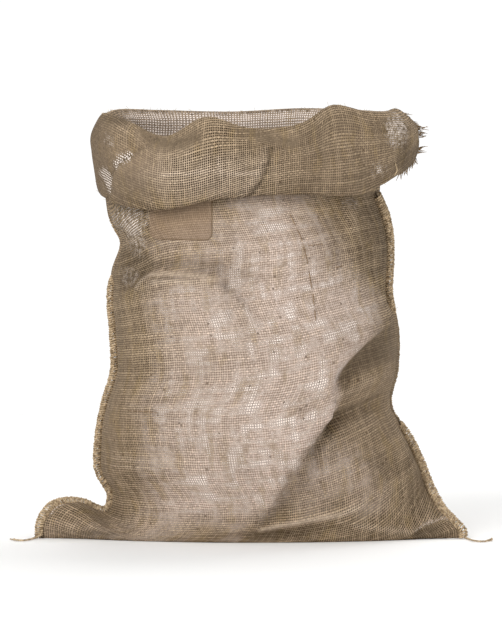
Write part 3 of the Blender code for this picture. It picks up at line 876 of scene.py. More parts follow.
# %% Patches
# Each is an oval on a part, and adds an amount to one of the values.
Patch = namedtuple("Patch", "value part x z wide high amount")
PATCHES = [
    Patch("bright", "rim", 0.000, 0.465, 0.170, 0.044, 0.90),
    Patch("glow", "rim", 0.000, 0.462, 0.170, 0.040, 0.35),
    Patch("bright", "cuff", -0.1620, 0.4560, 0.0055, 0.0090, 0.26),
    Patch("bright", "cuff", 0.1650, 0.4660, 0.0130, 0.0190, 0.44),
    Patch("open", "cuff", 0.1650, 0.4660, 0.0150, 0.0210, 0.6),
    Patch("bright", "cuff", 0.1460, 0.4220, 0.0100, 0.0085, 0.30),
    Patch("open", "cuff", -0.050, 0.418, 0.068, 0.024, 0.9),
    Patch("worn", "cuff", -0.050, 0.418, 0.068, 0.024, 0.5),
    Patch("open", "cuff", 0.070, 0.425, 0.060, 0.030, 0.3),
    # Painted shade on the flank of the roll, under the curl at the rim, round the left end of the
    # cuff and inside the flared right end.
    Patch("soil", "cuff", -0.140, 0.406, 0.028, 0.022, 0.55),
    Patch("soil", "cuff", -0.150, 0.478, 0.018, 0.007, 0.60),
    Patch("soil", "cuff", -0.178, 0.440, 0.018, 0.050, 0.90),
    Patch("soil", "cuff", 0.179, 0.438, 0.012, 0.016, 0.70),
    Patch("open", "rim", 0.000, 0.465, 0.170, 0.044, 0.9),
    Patch("plain", "cuff", -0.138, 0.414, 0.042, 0.030, 0.7),
    Patch("plain", "cuff", -0.178, 0.440, 0.020, 0.050, 0.8),
    Patch("plain", "cuff", -0.130, 0.455, 0.036, 0.034, 0.50),
    Patch("plain", "cuff", 0.110, 0.440, 0.070, 0.050, 0.45),
    Patch("plain", "front", -0.172, 0.150, 0.020, 0.090, 0.5),
    Patch("plain", "front", 0.145, 0.170, 0.048, 0.075, 0.50),
    Patch("plain", "front", -0.150, 0.180, 0.026, 0.110, 0.30),
    # Painted shade in the fold on the right.
    Patch("soil", "front", 0.146, 0.215, 0.024, 0.020, 0.35),
    Patch("soil", "front", 0.160, 0.225, 0.020, 0.024, 0.35),
    Patch("bright", "front", -0.1390, 0.366, 0.025, 0.017, 0.38),
    Patch("bright", "front", -0.1330, 0.340, 0.012, 0.020, 0.33),
    # Painted shade in the dents on the left.
    Patch("soil", "front", -0.140, 0.350, 0.026, 0.034, 0.30),
    Patch("bright", "front", -0.1435, 0.300, 0.010, 0.011, 0.25),
    Patch("soil", "front", -0.1350, 0.303, 0.022, 0.022, 0.45),
    Patch("bright", "front", 0.112, 0.384, 0.010, 0.006, 0.3),
    Patch("glow", "front", 0.105, 0.085, 0.036, 0.026, 0.30),
    Patch("glow", "front", 0.136, 0.048, 0.026, 0.020, 0.20),
    Patch("glow", "front", 0.070, 0.060, 0.026, 0.030, 0.25),
    # Painted shade low on the right.
    Patch("soil", "front", 0.196, 0.060, 0.022, 0.040, 0.30),
    Patch("open", "front", -0.0795, 0.385, 0.036, 0.034, -0.8),
]
print("patches:", len(PATCHES))

# %% Streaks
# Each is a line on a part with a soft width. Where the cloth lies in tight rolls the yarns are
# pressed together: the gaps close and the cloth looks even, so those lines add to more values,
# and along the rolls in the cuff they also paint shade in the hollow.
Streak = namedtuple("Streak", "value part line wide amount")
STREAKS = [
    Streak("bright", "front", [(-0.2317, 0.026), (-0.2245, 0.0370), (-0.2068, 0.0425),
                               (-0.1886, 0.0416)], 0.0026, 0.55),
    Streak("bright", "front", [(0.186, 0.0095), (0.200, 0.0180), (0.218, 0.0230),
                               (0.233, 0.0220)], 0.0024, 0.36),
    Streak("bright", "cuff", [(-0.1550, 0.4290), (-0.1490, 0.4350), (-0.1410, 0.4375)],
           0.0050, 1.0),
    Streak("bright", "cuff", [(-0.1700, 0.4180), (-0.1665, 0.4110), (-0.1630, 0.4000)],
           0.0048, 1.0),
    # A painted shadow under the curl at the left of the rim.
    Streak("soil", "cuff", [(-0.158, 0.478), (-0.150, 0.4815), (-0.141, 0.479)], 0.0030, 1.4),
    Streak("worn", "cuff", [(-0.0375, 0.4360), (-0.0330, 0.4170)], 0.0020, 0.9),
    Streak("worn", "cuff", [(-0.100, 0.4180), (-0.040, 0.4215), (0.010, 0.4190)],
           0.0016, 0.8),
]
TIGHT_ROLLS = [
    ("cuff", [(-0.122, 0.463), (-0.108, 0.456), (-0.095, 0.452), (-0.080, 0.453),
              (-0.062, 0.460)], 0.0085, {"soil": 0.75, "open": -1.5, "plain": 0.8}),
    ("cuff", [(0.000, 0.464), (0.020, 0.460), (0.046, 0.455)],
     0.0070, {"soil": 0.60, "open": -1.3, "plain": 0.7}),
    ("front", [(-0.118, 0.3035), (-0.094, 0.3058), (-0.056, 0.3032), (-0.037, 0.2990)],
     0.0030, {"open": -1.4, "plain": 1.0}),
    ("front", [(0.010, 0.0140), (0.045, 0.0205), (0.0713, 0.0257), (0.101, 0.0310)],
     0.0030, {"open": -1.4, "plain": 1.0}),
]
for part, line, wide, amounts in TIGHT_ROLLS:
    STREAKS += [Streak(value, part, line, wide, amount) for value, amount in amounts.items()]
print("streaks:", len(STREAKS))


# %% Where each part is painted
ROLLED_OVER = 0.16          # share of the back cuff that the light still comes over
SEAM_FADE = 0.14            # share of the back over which it fades towards a seam
values = {name: np.zeros_like(x)
          for name in ("glow", "bright", "open", "soil", "worn", "plain", "double")}
down_cuff = (row_number - CUFF_START) / CUFF_ROWS
off_seams = eased((around - 1) / SEAM_FADE) * eased((2 - around) / SEAM_FADE)
chosen = {"front": on_body & faces_front, "cuff": on_cuff & faces_front,
          "rim": np.where(on_body, 0, eased(1 - down_cuff / ROLLED_OVER)) * off_seams}
print("values:", list(values))

# %% Paint the glow and the shade
SHADE_SOFT, SOFTER_LOW = 0.010, 0.035   # how soft the shade's edge is, and more so low down
SOFTER_FROM, SOFTER_OVER = 0.150, 0.080
SHADE_TOP, SHADE_FADE = 0.262, 0.020
# painted shade given to the cloth to the right of the shade line
SHADE_DARKENING = 0.12
heights = sorted(GLOW_TABLE)
bands = np.stack([np.interp(x, GLOW_ACROSS, GLOW_TABLE[height]) for height in heights]) / 10
band = np.interp(z, heights, np.arange(len(heights)))
low_band = np.minimum(band.astype(int), len(heights) - 2)
share = band - low_band
picked = np.take_along_axis(bands, low_band[None], axis=0)[0] * (1 - share)
picked += np.take_along_axis(bands, low_band[None] + 1, axis=0)[0] * share

past = from_line(x, z, SHADE_SIDE)
soft_edge = SHADE_SOFT + SOFTER_LOW * eased((SOFTER_FROM - z) / SOFTER_OVER)
shaded = eased(past / soft_edge + 0.5) * chosen["front"] * eased((SHADE_TOP - z) / SHADE_FADE)
picked = picked * (1 - shaded) - SHADE_DARKENING * shaded
values["glow"] += np.where(on_body, np.maximum(picked, 0), 0)
# Below 0 the table and the creases give painted shade, and pale creases a painted highlight.
values["soil"] += np.where(on_body, np.maximum(-picked, 0), 0) + np.maximum(soil, 0)
values["worn"] += np.maximum(-soil, 0)
print("points with a glow:", int((values["glow"] > 0).sum()))


# %% Paint the patches and streaks
SPOT_EDGE = 0.7             # how soon an oval's amount falls off


def soft_spot(x, z, patch):
    """1 inside an oval, fading to 0 outside it."""
    reach = ((x - patch.x) / patch.wide) ** 2 + ((z - patch.z) / patch.high) ** 2
    return np.exp(-reach ** 2 * SPOT_EDGE)


for patch in PATCHES:
    values[patch.value] += patch.amount * soft_spot(x, z, patch) * chosen[patch.part]
for streak in STREAKS:
    nearness = np.exp(-(from_line(x, z, streak.line) / streak.wide) ** 2)
    values[streak.value] += streak.amount * nearness * chosen[streak.part]
print("most dirt so far:", round(float(values["soil"].max()), 2))

# %% Paint the shade at the cuff's foot, the top of the rim and round the see-through spots
HEM_SHADE, HEM_FROM, HEM_OVER = 0.35, 0.50, 0.25         # painted shade towards the foot; from and over are shares of the cuff
LOBE_DARKER, LOBE_FROM, LOBE_OVER = 0.30, 0.45, 0.30      # the flared right end is darker low down
LOBE_AROUND, LOBE_FADE = (0.90, 1.32), 0.06
RIM_TOP, RIM_CLOSED, RIM_SHADE = 0.005, 0.9, 0.4         # along the rim's top no light comes in, so it gets painted shade
SPOT_SHADE, SPOT_OPEN = 0.5, 0.7         # round a see-through spot the yarns are thin, with painted shade against the light
DOUBLED_ABOVE = 0.30        # the second layer shows only above this height
CLOSED_MOST = -1.5
values["soil"] += HEM_SHADE * eased((down_cuff - HEM_FROM) / HEM_OVER) * on_cuff
by_lobe = (eased((around - LOBE_AROUND[0]) / LOBE_FADE)
           * eased((LOBE_AROUND[1] - around) / LOBE_FADE))
values["soil"] += LOBE_DARKER * eased((down_cuff - LOBE_FROM) / LOBE_OVER) * on_cuff * by_lobe
rim_top = chosen["rim"] * eased(1 - (z.max(axis=0) - z) / RIM_TOP)
values["bright"] *= 1 - RIM_CLOSED * rim_top
values["soil"] += RIM_SHADE * rim_top
see_through = values["bright"] * (chosen["front"] | chosen["cuff"])
values["soil"] += SPOT_SHADE * see_through
values["open"] += SPOT_OPEN * see_through
values["double"] += chosen["front"] & (z > DOUBLED_ABOVE)
for name in values:
    values[name] = np.clip(values[name], CLOSED_MOST if name == "open" else 0, 1)
print("mean glow of the front:",
      round(float(values["glow"][:BODY_ROWS, :PANEL_COLUMNS].mean()), 2))

# %% [markdown]
# The yarns aren't level everywhere. Where the cloth is pulled up towards the right seam they rise
# with it, at the left end of the cuff they slant down, and at both ends of the mouth and along
# its back they are pulled apart. Bending the mesh's rows to follow them would spoil its even
# faces, so only the flat map is shifted there.

# %% Pulled yarns
# lift is how many metres the yarns rise by in the middle of an oval.
Pull = namedtuple("Pull", "part x z wide high lift")
PULLS = [
    Pull("front", 0.250, 0.060, 0.125, 0.090, 0.075),
    Pull("front", 0.230, 0.170, 0.110, 0.060, 0.032),
    Pull("front", 0.240, 0.300, 0.190, 0.140, 0.050),
    Pull("front", -0.200, 0.250, 0.060, 0.100, -0.016),
    Pull("front", -0.195, 0.340, 0.058, 0.060, -0.050),
    Pull("mouth", -0.070, 0.440, 0.070, 0.200, 0.024),
]
chosen["mouth"] = eased((row_number - BODY_ROWS) / WALL_ROWS) * faces_front
lifted = np.zeros_like(x)
for pull in PULLS:
    bulge = np.exp(-((x - pull.x) / pull.wide) ** 2 - ((z - pull.z) / pull.high) ** 2)
    lifted += pull.lift * bulge * chosen[pull.part]
print("yarns rise by up to", round(float(lifted.max()) * 1000), "mm")

# %% Parted yarns
SPREAD, SPREAD_X = 0.014, -0.100        # metres more cloth across the left end of the mouth
SPREAD_Z, SPREAD_RISE = 0.24, 0.10      # the height it starts at, and over which it grows
LOBE_SPREAD, LOBE_X = 0.012, 0.120      # metres more across the lobe at the right end
SPREAD_OVER = 0.060         # both grow over this width
BACK_SPREAD = 0.36          # share by which the yarns of the back part at the mouth
PARTED_X = -0.090           # where they part the most
PARTED_WIDE = 0.110
PARTING_ROWS = 26           # rows below the wall over which they come to part
spread = SPREAD * eased((SPREAD_X - x) / SPREAD_OVER) * eased((z - SPREAD_Z) / SPREAD_RISE)
spread = spread + LOBE_SPREAD * eased((x - LOBE_X) / SPREAD_OVER) * on_cuff * faces_front
mouth_share = eased(1 + (np.arange(ROWS + 1) - BODY_ROWS) / PARTING_ROWS)
parted_most = flat_across[np.argmin(abs(x[CUFF_START] - PARTED_X) + faces_front[CUFF_START])]
parted = -BACK_SPREAD * PARTED_WIDE * np.tanh((flat_across - parted_most) / PARTED_WIDE)
print("the back's yarns move by up to", round(float(abs(parted).max()) * 1000), "mm")

# %% [markdown]
# ## Make the cloth
# A grid is the natural start for a woven sheet. Its corners are moved to the rings' places, its
# UV map is the flat cloth in metres, and its two long edges are welded into the left seam. The
# first row is welded to itself, which closes the bottom fold. Solidify then gives the sheet the
# thickness of hessian.

# %% Grid to cloth
form = bmesh.new()
flat_map = form.loops.layers.uv.new("cloth")
layers = {name: form.verts.layers.float.new(name) for name in values}
bmesh.ops.create_grid(form, x_segments=COLUMNS, y_segments=ROWS, size=0.5)
spots = {vert: (round((vert.co.y + 0.5) * ROWS), round((vert.co.x + 0.5) * COLUMNS))
         for vert in form.verts}
for face in form.faces:
    in_front = face.calc_center_median().x < 0
    for loop in face.loops:
        row, column = spots[loop.vert]
        rise = lifted[row, column % COLUMNS] if in_front else 0
        wider = (spread[row, column % COLUMNS] if in_front
                 else mouth_share[row] * parted[column])
        loop[flat_map].uv = (flat_across[column] + wider, flat_up[row] - rise)
for vert, (row, column) in spots.items():
    vert.co = places[row, column % COLUMNS]
    for name, layer in layers.items():
        vert[layer] = values[name][row, column % COLUMNS]
print("grid:", len(form.verts), "points and", len(form.faces), "faces")

# %% Weld and keep a tree of the surface
WELD_DISTANCE = 0.00002
bmesh.ops.remove_doubles(form, verts=form.verts, dist=WELD_DISTANCE)
surface_tree = BVHTree.FromBMesh(form)
print("after welding:", len(form.verts), "points")

# %% [markdown]
# ## Hessian
# Hessian is a plain weave of single jute yarns: matt, coarse and uneven. Every yarn has its own
# width and shade, thick slubs come and go along it, and square gaps are left between. The
# pattern is drawn on the flat cloth, because it has to follow every fold: one set of stripes is
# the warp, the other the weft, and the product of two sines says which is on top, so each yarn
# shows as a row of short dashes. The gaps glow, are white or stay dark as the painted values
# say.

# %% Patchwork
BUNDLES = ((0.012, 0.050), (0.050, 0.011))      # metres across and along a block
hessian, weave = new_material("open hessian weave")
maths, blend = partial(add_maths, hessian.node_tree), partial(add_blend, hessian.node_tree)
painted = {name: weave("Attribute", out="Fac", attribute_name=name) for name in values}
flat_cloth = weave("UVMap", uv_map="cloth")

# Yarns come off the loom in bundles that are thicker or thinner than the rest, so the cloth is
# a faint patchwork of denser and more open blocks, with their sides along the yarns.
bundles = []
for wide, high in BUNDLES:
    bundle = weave("VectorMath", {0: flat_cloth, 1: (1 / wide, 1 / high, 1)},
                   operation='MULTIPLY')
    bundles.append(weave("TexNoise", {"Vector": bundle, "Scale": 1.0, "Detail": 1.0}))
patchwork = maths('ADD', bundles[0], bundles[1])
patchwork = weave("MapRange", {"Value": patchwork, "From Min": 0.75, "From Max": 1.25})
glow = maths('MULTIPLY_ADD', patchwork, 0.30, 0.80)
glow = maths('MULTIPLY', glow, painted["glow"], use_clamp=True)
loose = weave("MapRange", {"Value": patchwork, "From Min": 0.55, "From Max": 1.0})
loose = maths('MULTIPLY', loose, painted["glow"])
print("nodes for the patchwork:", len(hessian.node_tree.nodes))

# %% Hessian pattern
# Ordinary hessian has a yarn every 2 to 2.8 mm. Yarns closer than about 2.5 mm are too fine to
# show in the render, so they are drawn at the coarse end of that.
WARP_PITCH = 0.0026         # metres from one warp yarn to the next
WEFT_PITCH = 0.0028         # and from one weft yarn to the next
YARN_HALF = 0.270           # half a yarn's width, as a share of the pitch
OWN_WIDTH, SLUB_WIDTH = 0.10, 0.24      # how much that differs by yarn and by slub
EDGE_SOFT = (-0.04, 0.05)   # where a yarn's edge fades in, as shares of the pitch
SLUB_LENGTH = 0.050
YARNS_APART = 3.7           # steps in the noise between yarns, so that no two have like slubs
WANDER, WANDER_LENGTH = 0.0034, 0.030   # how far yarns stray from straight, and how soon

wander = weave("TexNoise", {"Vector": flat_cloth, "Scale": 1 / WANDER_LENGTH,
                            "Detail": 3.0}, out=1)
wander = weave("VectorMath", {0: wander, 1: (0.5, 0.5, 0.5)}, operation='SUBTRACT')
wander = weave("VectorMath", {0: wander, "Scale": WANDER}, operation='SCALE')
woven = weave("VectorMath", {0: flat_cloth, 1: wander}, operation='ADD')
across = weave("SeparateXYZ", {0: woven}, out=0)
along = weave("SeparateXYZ", {0: woven}, out=1)
# Yarns are thinner where the cloth is painted open and where a block of it is loose.
thin = maths('MULTIPLY_ADD', painted["open"], -0.24, 1.0)
thin = maths('MULTIPLY_ADD', loose, -0.32, thin)
print("nodes for the lie of the yarns:", len(hessian.node_tree.nodes))

# %% Warp and weft
Yarns = namedtuple("Yarns", "wave cover swell shade number")


def yarns(across, along, pitch, offset):
    """One set of yarns: its over-and-under wave, cover, roundness, shade and yarn number."""
    count = maths('DIVIDE', across, pitch)
    number = maths('FLOOR', count)
    from_middle = maths('FRACT', count)
    from_middle = maths('SUBTRACT', from_middle, 0.5)
    from_middle = maths('ABSOLUTE', from_middle)
    named = maths('ADD', number, offset)
    own = weave("TexWhiteNoise", {"W": named}, noise_dimensions='1D')
    slub_place = weave("CombineXYZ", {
        0: maths('MULTIPLY', number, YARNS_APART),
        1: maths('DIVIDE', along, SLUB_LENGTH), 2: offset})
    slub = weave("TexNoise", {"Vector": slub_place, "Scale": 1.0, "Detail": 3.0})
    least = YARN_HALF - (OWN_WIDTH + SLUB_WIDTH) / 2
    half = maths('MULTIPLY_ADD', own, OWN_WIDTH, least)
    half = maths('MULTIPLY_ADD', slub, SLUB_WIDTH, half)
    half = maths('MULTIPLY', half, thin)
    beside = maths('SUBTRACT', half, from_middle)
    cover = weave("MapRange", {"Value": beside, "From Min": EDGE_SOFT[0],
                               "From Max": EDGE_SOFT[1]}, interpolation_type='SMOOTHSTEP')
    # A yarn is round, so it stands highest along its middle.
    swell = maths('DIVIDE', from_middle, half)
    swell = maths('POWER', swell, 2.0)
    swell = maths('SUBTRACT', 1.0, swell, use_clamp=True)
    swell = maths('SQRT', swell)
    shade = maths('MULTIPLY', own, 0.25)
    shade = maths('MULTIPLY_ADD', slub, 0.6, shade)
    wave = maths('MULTIPLY', count, math.pi)
    wave = maths('SINE', wave)
    return Yarns(wave, cover, swell, shade, number)


warp = yarns(across, along, WARP_PITCH, 11.0)
weft = yarns(along, across, WEFT_PITCH, 47.0)
print("nodes for the yarns:", len(hessian.node_tree.nodes))

# %% Over and under
UNDER, OVER_GAIN = 0.56, 0.44       # how high a yarn lies as it passes under and over
over = maths('MULTIPLY', warp.wave, weft.wave)
warp_high = maths('MULTIPLY_ADD', over, OVER_GAIN, UNDER)
weft_high = maths('MULTIPLY_ADD', over, -OVER_GAIN, UNDER)
warp_top = maths('MULTIPLY', warp.swell, warp_high)
weft_top = maths('MULTIPLY', weft.swell, weft_high)
relief = maths('MAXIMUM', warp_top, weft_top)
warp_shows = maths('GREATER_THAN', warp_top, weft_top)
no_warp = maths('SUBTRACT', 1.0, warp.cover)
no_weft = maths('SUBTRACT', 1.0, weft.cover)
gap = maths('MULTIPLY', no_warp, no_weft)
crossing = weave("CombineXYZ", {0: warp.number, 1: weft.number})
chance = weave("TexWhiteNoise", {0: crossing}, noise_dimensions='2D')
print("nodes for the weave:", len(hessian.node_tree.nodes))

# %% Hessian colours
# Undyed jute is a greyish tan. Yarns that hold more of the plant's gum are golden, and where
# light comes through, the fibres are painted paler and a little pink, as painted light. A golden
# stretch is about 13 mm across the cloth and 38 mm along it.
BROAD_SHADE = 0.040         # metres between lighter and darker parts of the cloth
GUM_MARKS = (75, 26, 1)     # golden stretches to the metre, across and along
EVEN_SHADE = 0.42           # the shade of yarns that run together
shade = weave("Mix", {0: warp_shows, 2: weft.shade, 3: warp.shade})
broad = weave("TexNoise", {"Vector": flat_cloth, "Scale": 1 / BROAD_SHADE, "Detail": 3.0})
shade = maths('MULTIPLY_ADD', broad, 0.5, shade)
shade = weave("MapRange", {"Value": shade, "From Min": 0.35, "From Max": 1.05})
evened = maths('MULTIPLY', painted["plain"], 0.7)
shade = weave("Mix", {0: evened, 2: shade, 3: EVEN_SHADE})
yarn = blend(shade, linear("#806c55"), linear("#c6ae90"))
gum = weave("VectorMath", {0: flat_cloth, 1: GUM_MARKS}, operation='MULTIPLY')
gum = weave("TexNoise", {"Vector": gum, "Scale": 1.0, "Detail": 4.0})
gum = weave("MapRange", {"Value": gum, "From Min": 0.52, "From Max": 0.66, "To Max": 0.45})
yarn = blend(gum, yarn, linear("#a58c63"))
glow_tint = maths('MULTIPLY_ADD', gum, -0.9, 0.88)
glow_tint = maths('MULTIPLY', glow_tint, glow)
yarn = blend(glow_tint, yarn, linear("#e6d1c5"))
# Rubbed yarns, and the painted highlights along ridges, are paler.
yarn = blend(painted["worn"], yarn, linear("#d9c3ab"))
print("nodes with the yarn colours:", len(hessian.node_tree.nodes))

# %% Light and shade on the yarns
# A yarn gets painted shade where it dives under another one and where the cloth is painted with
# shade, and the weft, which lies level, is painted a little lighter, as it catches a little more
# light than the warp. No two crossings are quite alike.
yarn_shade = weave("MapRange", {"Value": relief, "From Max": 0.85, "To Min": 0.40, "To Max": 1.08})
yarn_shade = weave("Mix", {0: painted["plain"], 2: yarn_shade, 3: 0.76})
side = maths('MULTIPLY_ADD', warp_shows, -0.12, 1.02)
yarn_shade = maths('MULTIPLY', yarn_shade, side)
fleck = maths('MULTIPLY_ADD', chance, 0.34, 0.84)
yarn_shade = maths('MULTIPLY', yarn_shade, fleck)
darkening = maths('MULTIPLY_ADD', painted["soil"], -0.42, 1.0)
yarn_shade = maths('MULTIPLY', yarn_shade, darkening)
grey = weave("CombineXYZ", {0: yarn_shade, 1: yarn_shade, 2: yarn_shade})
yarn = blend(1.0, yarn, grey, blend_type='MULTIPLY')
print("nodes with the shaded yarns:", len(hessian.node_tree.nodes))

# %% Light in the gaps
# The light that comes through the gaps is painted. By chance, and more in the loose blocks, gaps
# are painted lit from behind. Where the cloth is painted bright nearly all of them are, and the
# yarns beside a lit gap get a painted shade, so they look darker against it. A gap that isn't lit
# is painted dark, as the shade inside the sack, and less so where the cloth glows or is even.
lit = maths('MULTIPLY_ADD', chance, 0.40, patchwork)
lit = weave("MapRange", {"Value": lit, "From Min": 0.59, "From Max": 1.15})
lit = maths('MULTIPLY', lit, glow)
clear = maths('MULTIPLY_ADD', chance, 0.40, painted["bright"])
clear = weave("MapRange", {"Value": clear, "From Min": 0.42, "From Max": 0.74})
backlit_shade = maths('MULTIPLY', clear, 0.5)
backlit_shade = maths('MAXIMUM', backlit_shade, lit)
backlit_shade = maths('MULTIPLY_ADD', backlit_shade, -0.38, 1.0)
lit = maths('MAXIMUM', lit, clear)
backlit_shade = weave("CombineXYZ", {0: backlit_shade, 1: backlit_shade, 2: backlit_shade})
yarn = blend(1.0, yarn, backlit_shade, blend_type='MULTIPLY')
deep = maths('MULTIPLY_ADD', painted["plain"], 0.50, glow)
hollow = blend(deep, linear("#33271b"), linear("#a08a77"))
hollow = blend(lit, hollow, linear("#fff1e6"))
colour = blend(gap, yarn, hollow)
# A few crossings hold a dark speck of bark.
speck = maths('GREATER_THAN', chance, 0.997)
speck = maths('MULTIPLY', speck, maths('SUBTRACT', 0.7, gap), use_clamp=True)
colour = blend(speck, colour, linear("#4a3826"))
print("nodes with light and shade:", len(hessian.node_tree.nodes))

# %% [markdown]
# High on the front at the left a second layer lies behind the first, so less light comes through,
# and its rounded corner shows through as a darker patch of painted shade with a thin dark edge of
# painted shade along its bottom. Nothing of it stands out from the cloth, so it is drawn in the
# weave: the distance past a rounded rectangle gives both the patch and its edge.

# %% Doubled patch
PATCH_MIDDLE = (-0.0795, 0.390)
PATCH_HALF = (0.0355, 0.0460)
PATCH_ROUND = 0.008
PATCH_FADE = (0.0006, -0.0010)          # past the outline, and inside it at full strength
EDGE_FADE = (0.0016, 0.0003)            # the same for the thin edge, to each side of the outline
EDGE_FROM, EDGE_TO = -0.110, -0.098     # across the sack, the edge fades in between these
DOUBLED_MOST, EDGE_MOST = 0.60, 0.65

place = weave("TexCoord", out="Object")
past_corner = []
for axis, middle, half in zip((0, 2), PATCH_MIDDLE, PATCH_HALF):
    away = weave("SeparateXYZ", {0: place}, out=axis)
    away = maths('SUBTRACT', away, middle)
    away = maths('ABSOLUTE', away)
    away = maths('SUBTRACT', away, half - PATCH_ROUND)
    away = maths('MAXIMUM', away, 0.0)
    past_corner.append(maths('POWER', away, 2.0))
corner = maths('ADD', past_corner[0], past_corner[1])
corner = maths('SQRT', corner)
past_patch = maths('SUBTRACT', corner, PATCH_ROUND)
doubled = weave("MapRange", {"Value": past_patch, "From Min": PATCH_FADE[0],
                             "From Max": PATCH_FADE[1], "To Max": DOUBLED_MOST})
doubled = maths('MULTIPLY', doubled, painted["double"])
edge = maths('ABSOLUTE', past_patch)
edge = weave("MapRange", {"Value": edge, "From Min": EDGE_FADE[0], "From Max": EDGE_FADE[1],
                          "To Max": EDGE_MOST})
side_on = weave("MapRange", {"Value": weave("SeparateXYZ", {0: place}, out=0),
                             "From Min": EDGE_FROM, "From Max": EDGE_TO})
edge = maths('MULTIPLY', edge, side_on)
edge = maths('MULTIPLY', edge, painted["double"])
# The painted shade of the doubled cloth and of its edge.
colour = blend(doubled, colour, linear("#8b745f"))
colour = blend(edge, colour, linear("#59452f"))
print("nodes with the patch:", len(hessian.node_tree.nodes))

# %% Hessian surface
CLOTH_THICKNESS = 0.0011
bump = weave("Bump", {"Height": relief, "Distance": 0.0006, "Strength": 0.6})
surface = weave("BsdfPrincipled", {"Base Color": colour, "Roughness": 0.95,
                                   "Specular IOR Level": 0.15, "Normal": bump})
weave("OutputMaterial", {"Surface": surface})
cloth = new_object("hessian_cloth", form, hessian)
solid = cloth.modifiers.new("thickness", 'SOLIDIFY')
solid.thickness = CLOTH_THICKNESS
solid.offset = -1
solid.use_even_offset = True
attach(cloth, "root")
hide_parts("sack_cloth")
print("cloth:", len(cloth.data.vertices), "points before it is thickened")


# %% [markdown]
# ## Side seams
# The two edges of the cloth lie together at each side, and twine is whipped over them in tight
# slanting loops, from the bottom corner to the neck. It could be one long helix, but the half
# of each turn that lies behind never shows. The edges are pressed over to the front as a band,
# so each loop is a short strand that goes over the band from one side to the other.

# %% Lines of the seams
STITCH_PITCH = 0.0027
PRESSED_FORWARD = 0.8       # how far the band is pressed over to the front
PRESSED_OUT, LESS_OUT_TUCKED = 0.60, 0.45       # and out, and how much less where it is tucked
BESIDE = (-3, 3)            # columns on each side that show which way the corner of cloth points
POINTS_OUT = 0.0006         # decides that way where the cloth has no corner


def seam_line(column):
    """A point for every stitch along a seam, and the way that the band stands out there."""
    line = flat_places[:BODY_ROWS + 1, column]
    beside = [flat_places[:BODY_ROWS + 1, (column + step) % COLUMNS] for step in BESIDE]
    corner = line - (beside[0] + beside[1]) / 2
    out = unit(corner + POINTS_OUT * out_ways[:BODY_ROWS + 1, column])
    tucked = tucked_back(column, line[:, 2])
    forward = PRESSED_FORWARD * (1 - 2 * tucked)
    out = (out * (PRESSED_OUT - LESS_OUT_TUCKED * tucked)[:, None]
           - np.outer(forward, (0, 1, 0)))
    run = run_along(line)
    at = np.arange(STITCH_PITCH, run[-1], STITCH_PITCH)
    points = np.stack([np.interp(at, run, axis) for axis in line.T], axis=1)
    ways = np.stack([np.interp(at, run, axis) for axis in out.T], axis=1)
    return points, unit(ways)


seam_lines = {"seam_left": (0, *seam_line(0)),
              "seam_right": (PANEL_COLUMNS, *seam_line(PANEL_COLUMNS))}
print("stitches along the seams:", [len(points) for column, points, ways in seam_lines.values()])

# %% Whip the seams
STITCH_RADIUS = 0.0013
BAND_HALF_WIDTH = 0.0046
BAND_RISE, EAR_RISE = 0.0060, 0.0044    # how high the band stands on the body and on an ear
TUCKED_SLIMMER = 0.30       # share by which the band is slimmer where it is tucked back
LOOP_POINTS = 9
LOOP_TURN = 1.7             # how far a loop goes round the band to each side, in radians
LEAN_TURN = 3.5             # radians of the loop over which it leans by its whole lean
draw = random.Random(7)
for name, (column, points, ways) in seam_lines.items():
    along = unit(np.gradient(points, axis=0))
    ways = unit(ways - (ways * along).sum(axis=1)[:, None] * along)
    across = np.cross(along, ways)
    loops = []
    for k in range(len(points)):
        share = eased((points[k, 2] - SEAM_LOW) / (SEAM_HIGH - SEAM_LOW))
        slim = 1 - TUCKED_SLIMMER * tucked_back(column, points[k, 2])
        rise = (EAR_RISE + (BAND_RISE - EAR_RISE) * share + draw.uniform(-0.0009, 0.0006)) * slim
        wide = (BAND_HALF_WIDTH + draw.uniform(-0.0004, 0.0004)) * slim
        lean = STITCH_PITCH * draw.uniform(1.2, 1.9)
        turn = np.linspace(-LOOP_TURN, LOOP_TURN, LOOP_POINTS)
        loop = (points[k] + ways[k] * (rise * np.cos(turn))[:, None]
                + across[k] * (wide * np.sin(turn))[:, None]
                + along[k] * (lean * turn / LEAN_TURN)[:, None])
        loop[:, 2] = np.maximum(loop[:, 2], STITCH_RADIUS)
        loops.append(loop)
    seam = strands(name, loops, STITCH_RADIUS, twine)
    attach(seam, "root")
    print(name, "has", len(loops), "stitches")


# %% [markdown]
# ## The frayed edge
# Where the cuff flares out at the right, its raw edge shows. The cross yarns have fallen out of
# the last few millimetres, and the loose warp ends stand out as a comb that is a little unruly.
# Each end is a strand of its own, because a hair system would make far more of them, all alike.

# %% Fray the raw edge
FRAY_FROM, FRAY_TO = 0.94, 1.30         # places round the mouth
FRAY_PITCH = 0.0016
FRAY_RADIUS = 0.00050
FRAY_LENGTH = (0.0050, 0.0115)
FRAY_INSIDE = 0.0015        # how far a thread end starts inside the cloth
frayed = []


def fray(root, way, out):
    """A loose thread end, a little bent, that starts just inside the edge of the cloth."""
    length = draw.uniform(*FRAY_LENGTH)
    stray = Vector([draw.uniform(-0.35, 0.35) for axis in range(3)])
    middle = root + (way + out * 0.25 + stray * 0.5) * length * 0.5
    tip = root + (way + out * draw.uniform(0.1, 0.7) + stray) * length
    frayed.append([tuple(p) for p in (root - way * FRAY_INSIDE, root, middle, tip)])


last, before = places[-1], places[-4]       # the raw edge, and a row a little way in
for start in np.arange(FRAY_FROM, FRAY_TO, FRAY_PITCH / panel_width):
    column = start * PANEL_COLUMNS
    k, share = int(column), column - int(column)
    root = Vector(last[k] * (1 - share) + last[k + 1] * share)
    inner = Vector(before[k] * (1 - share) + before[k + 1] * share)
    fray(root, (root - inner).normalized(), Vector(neck_out[k]))
print("thread ends along the bottom of the cuff:", len(frayed))

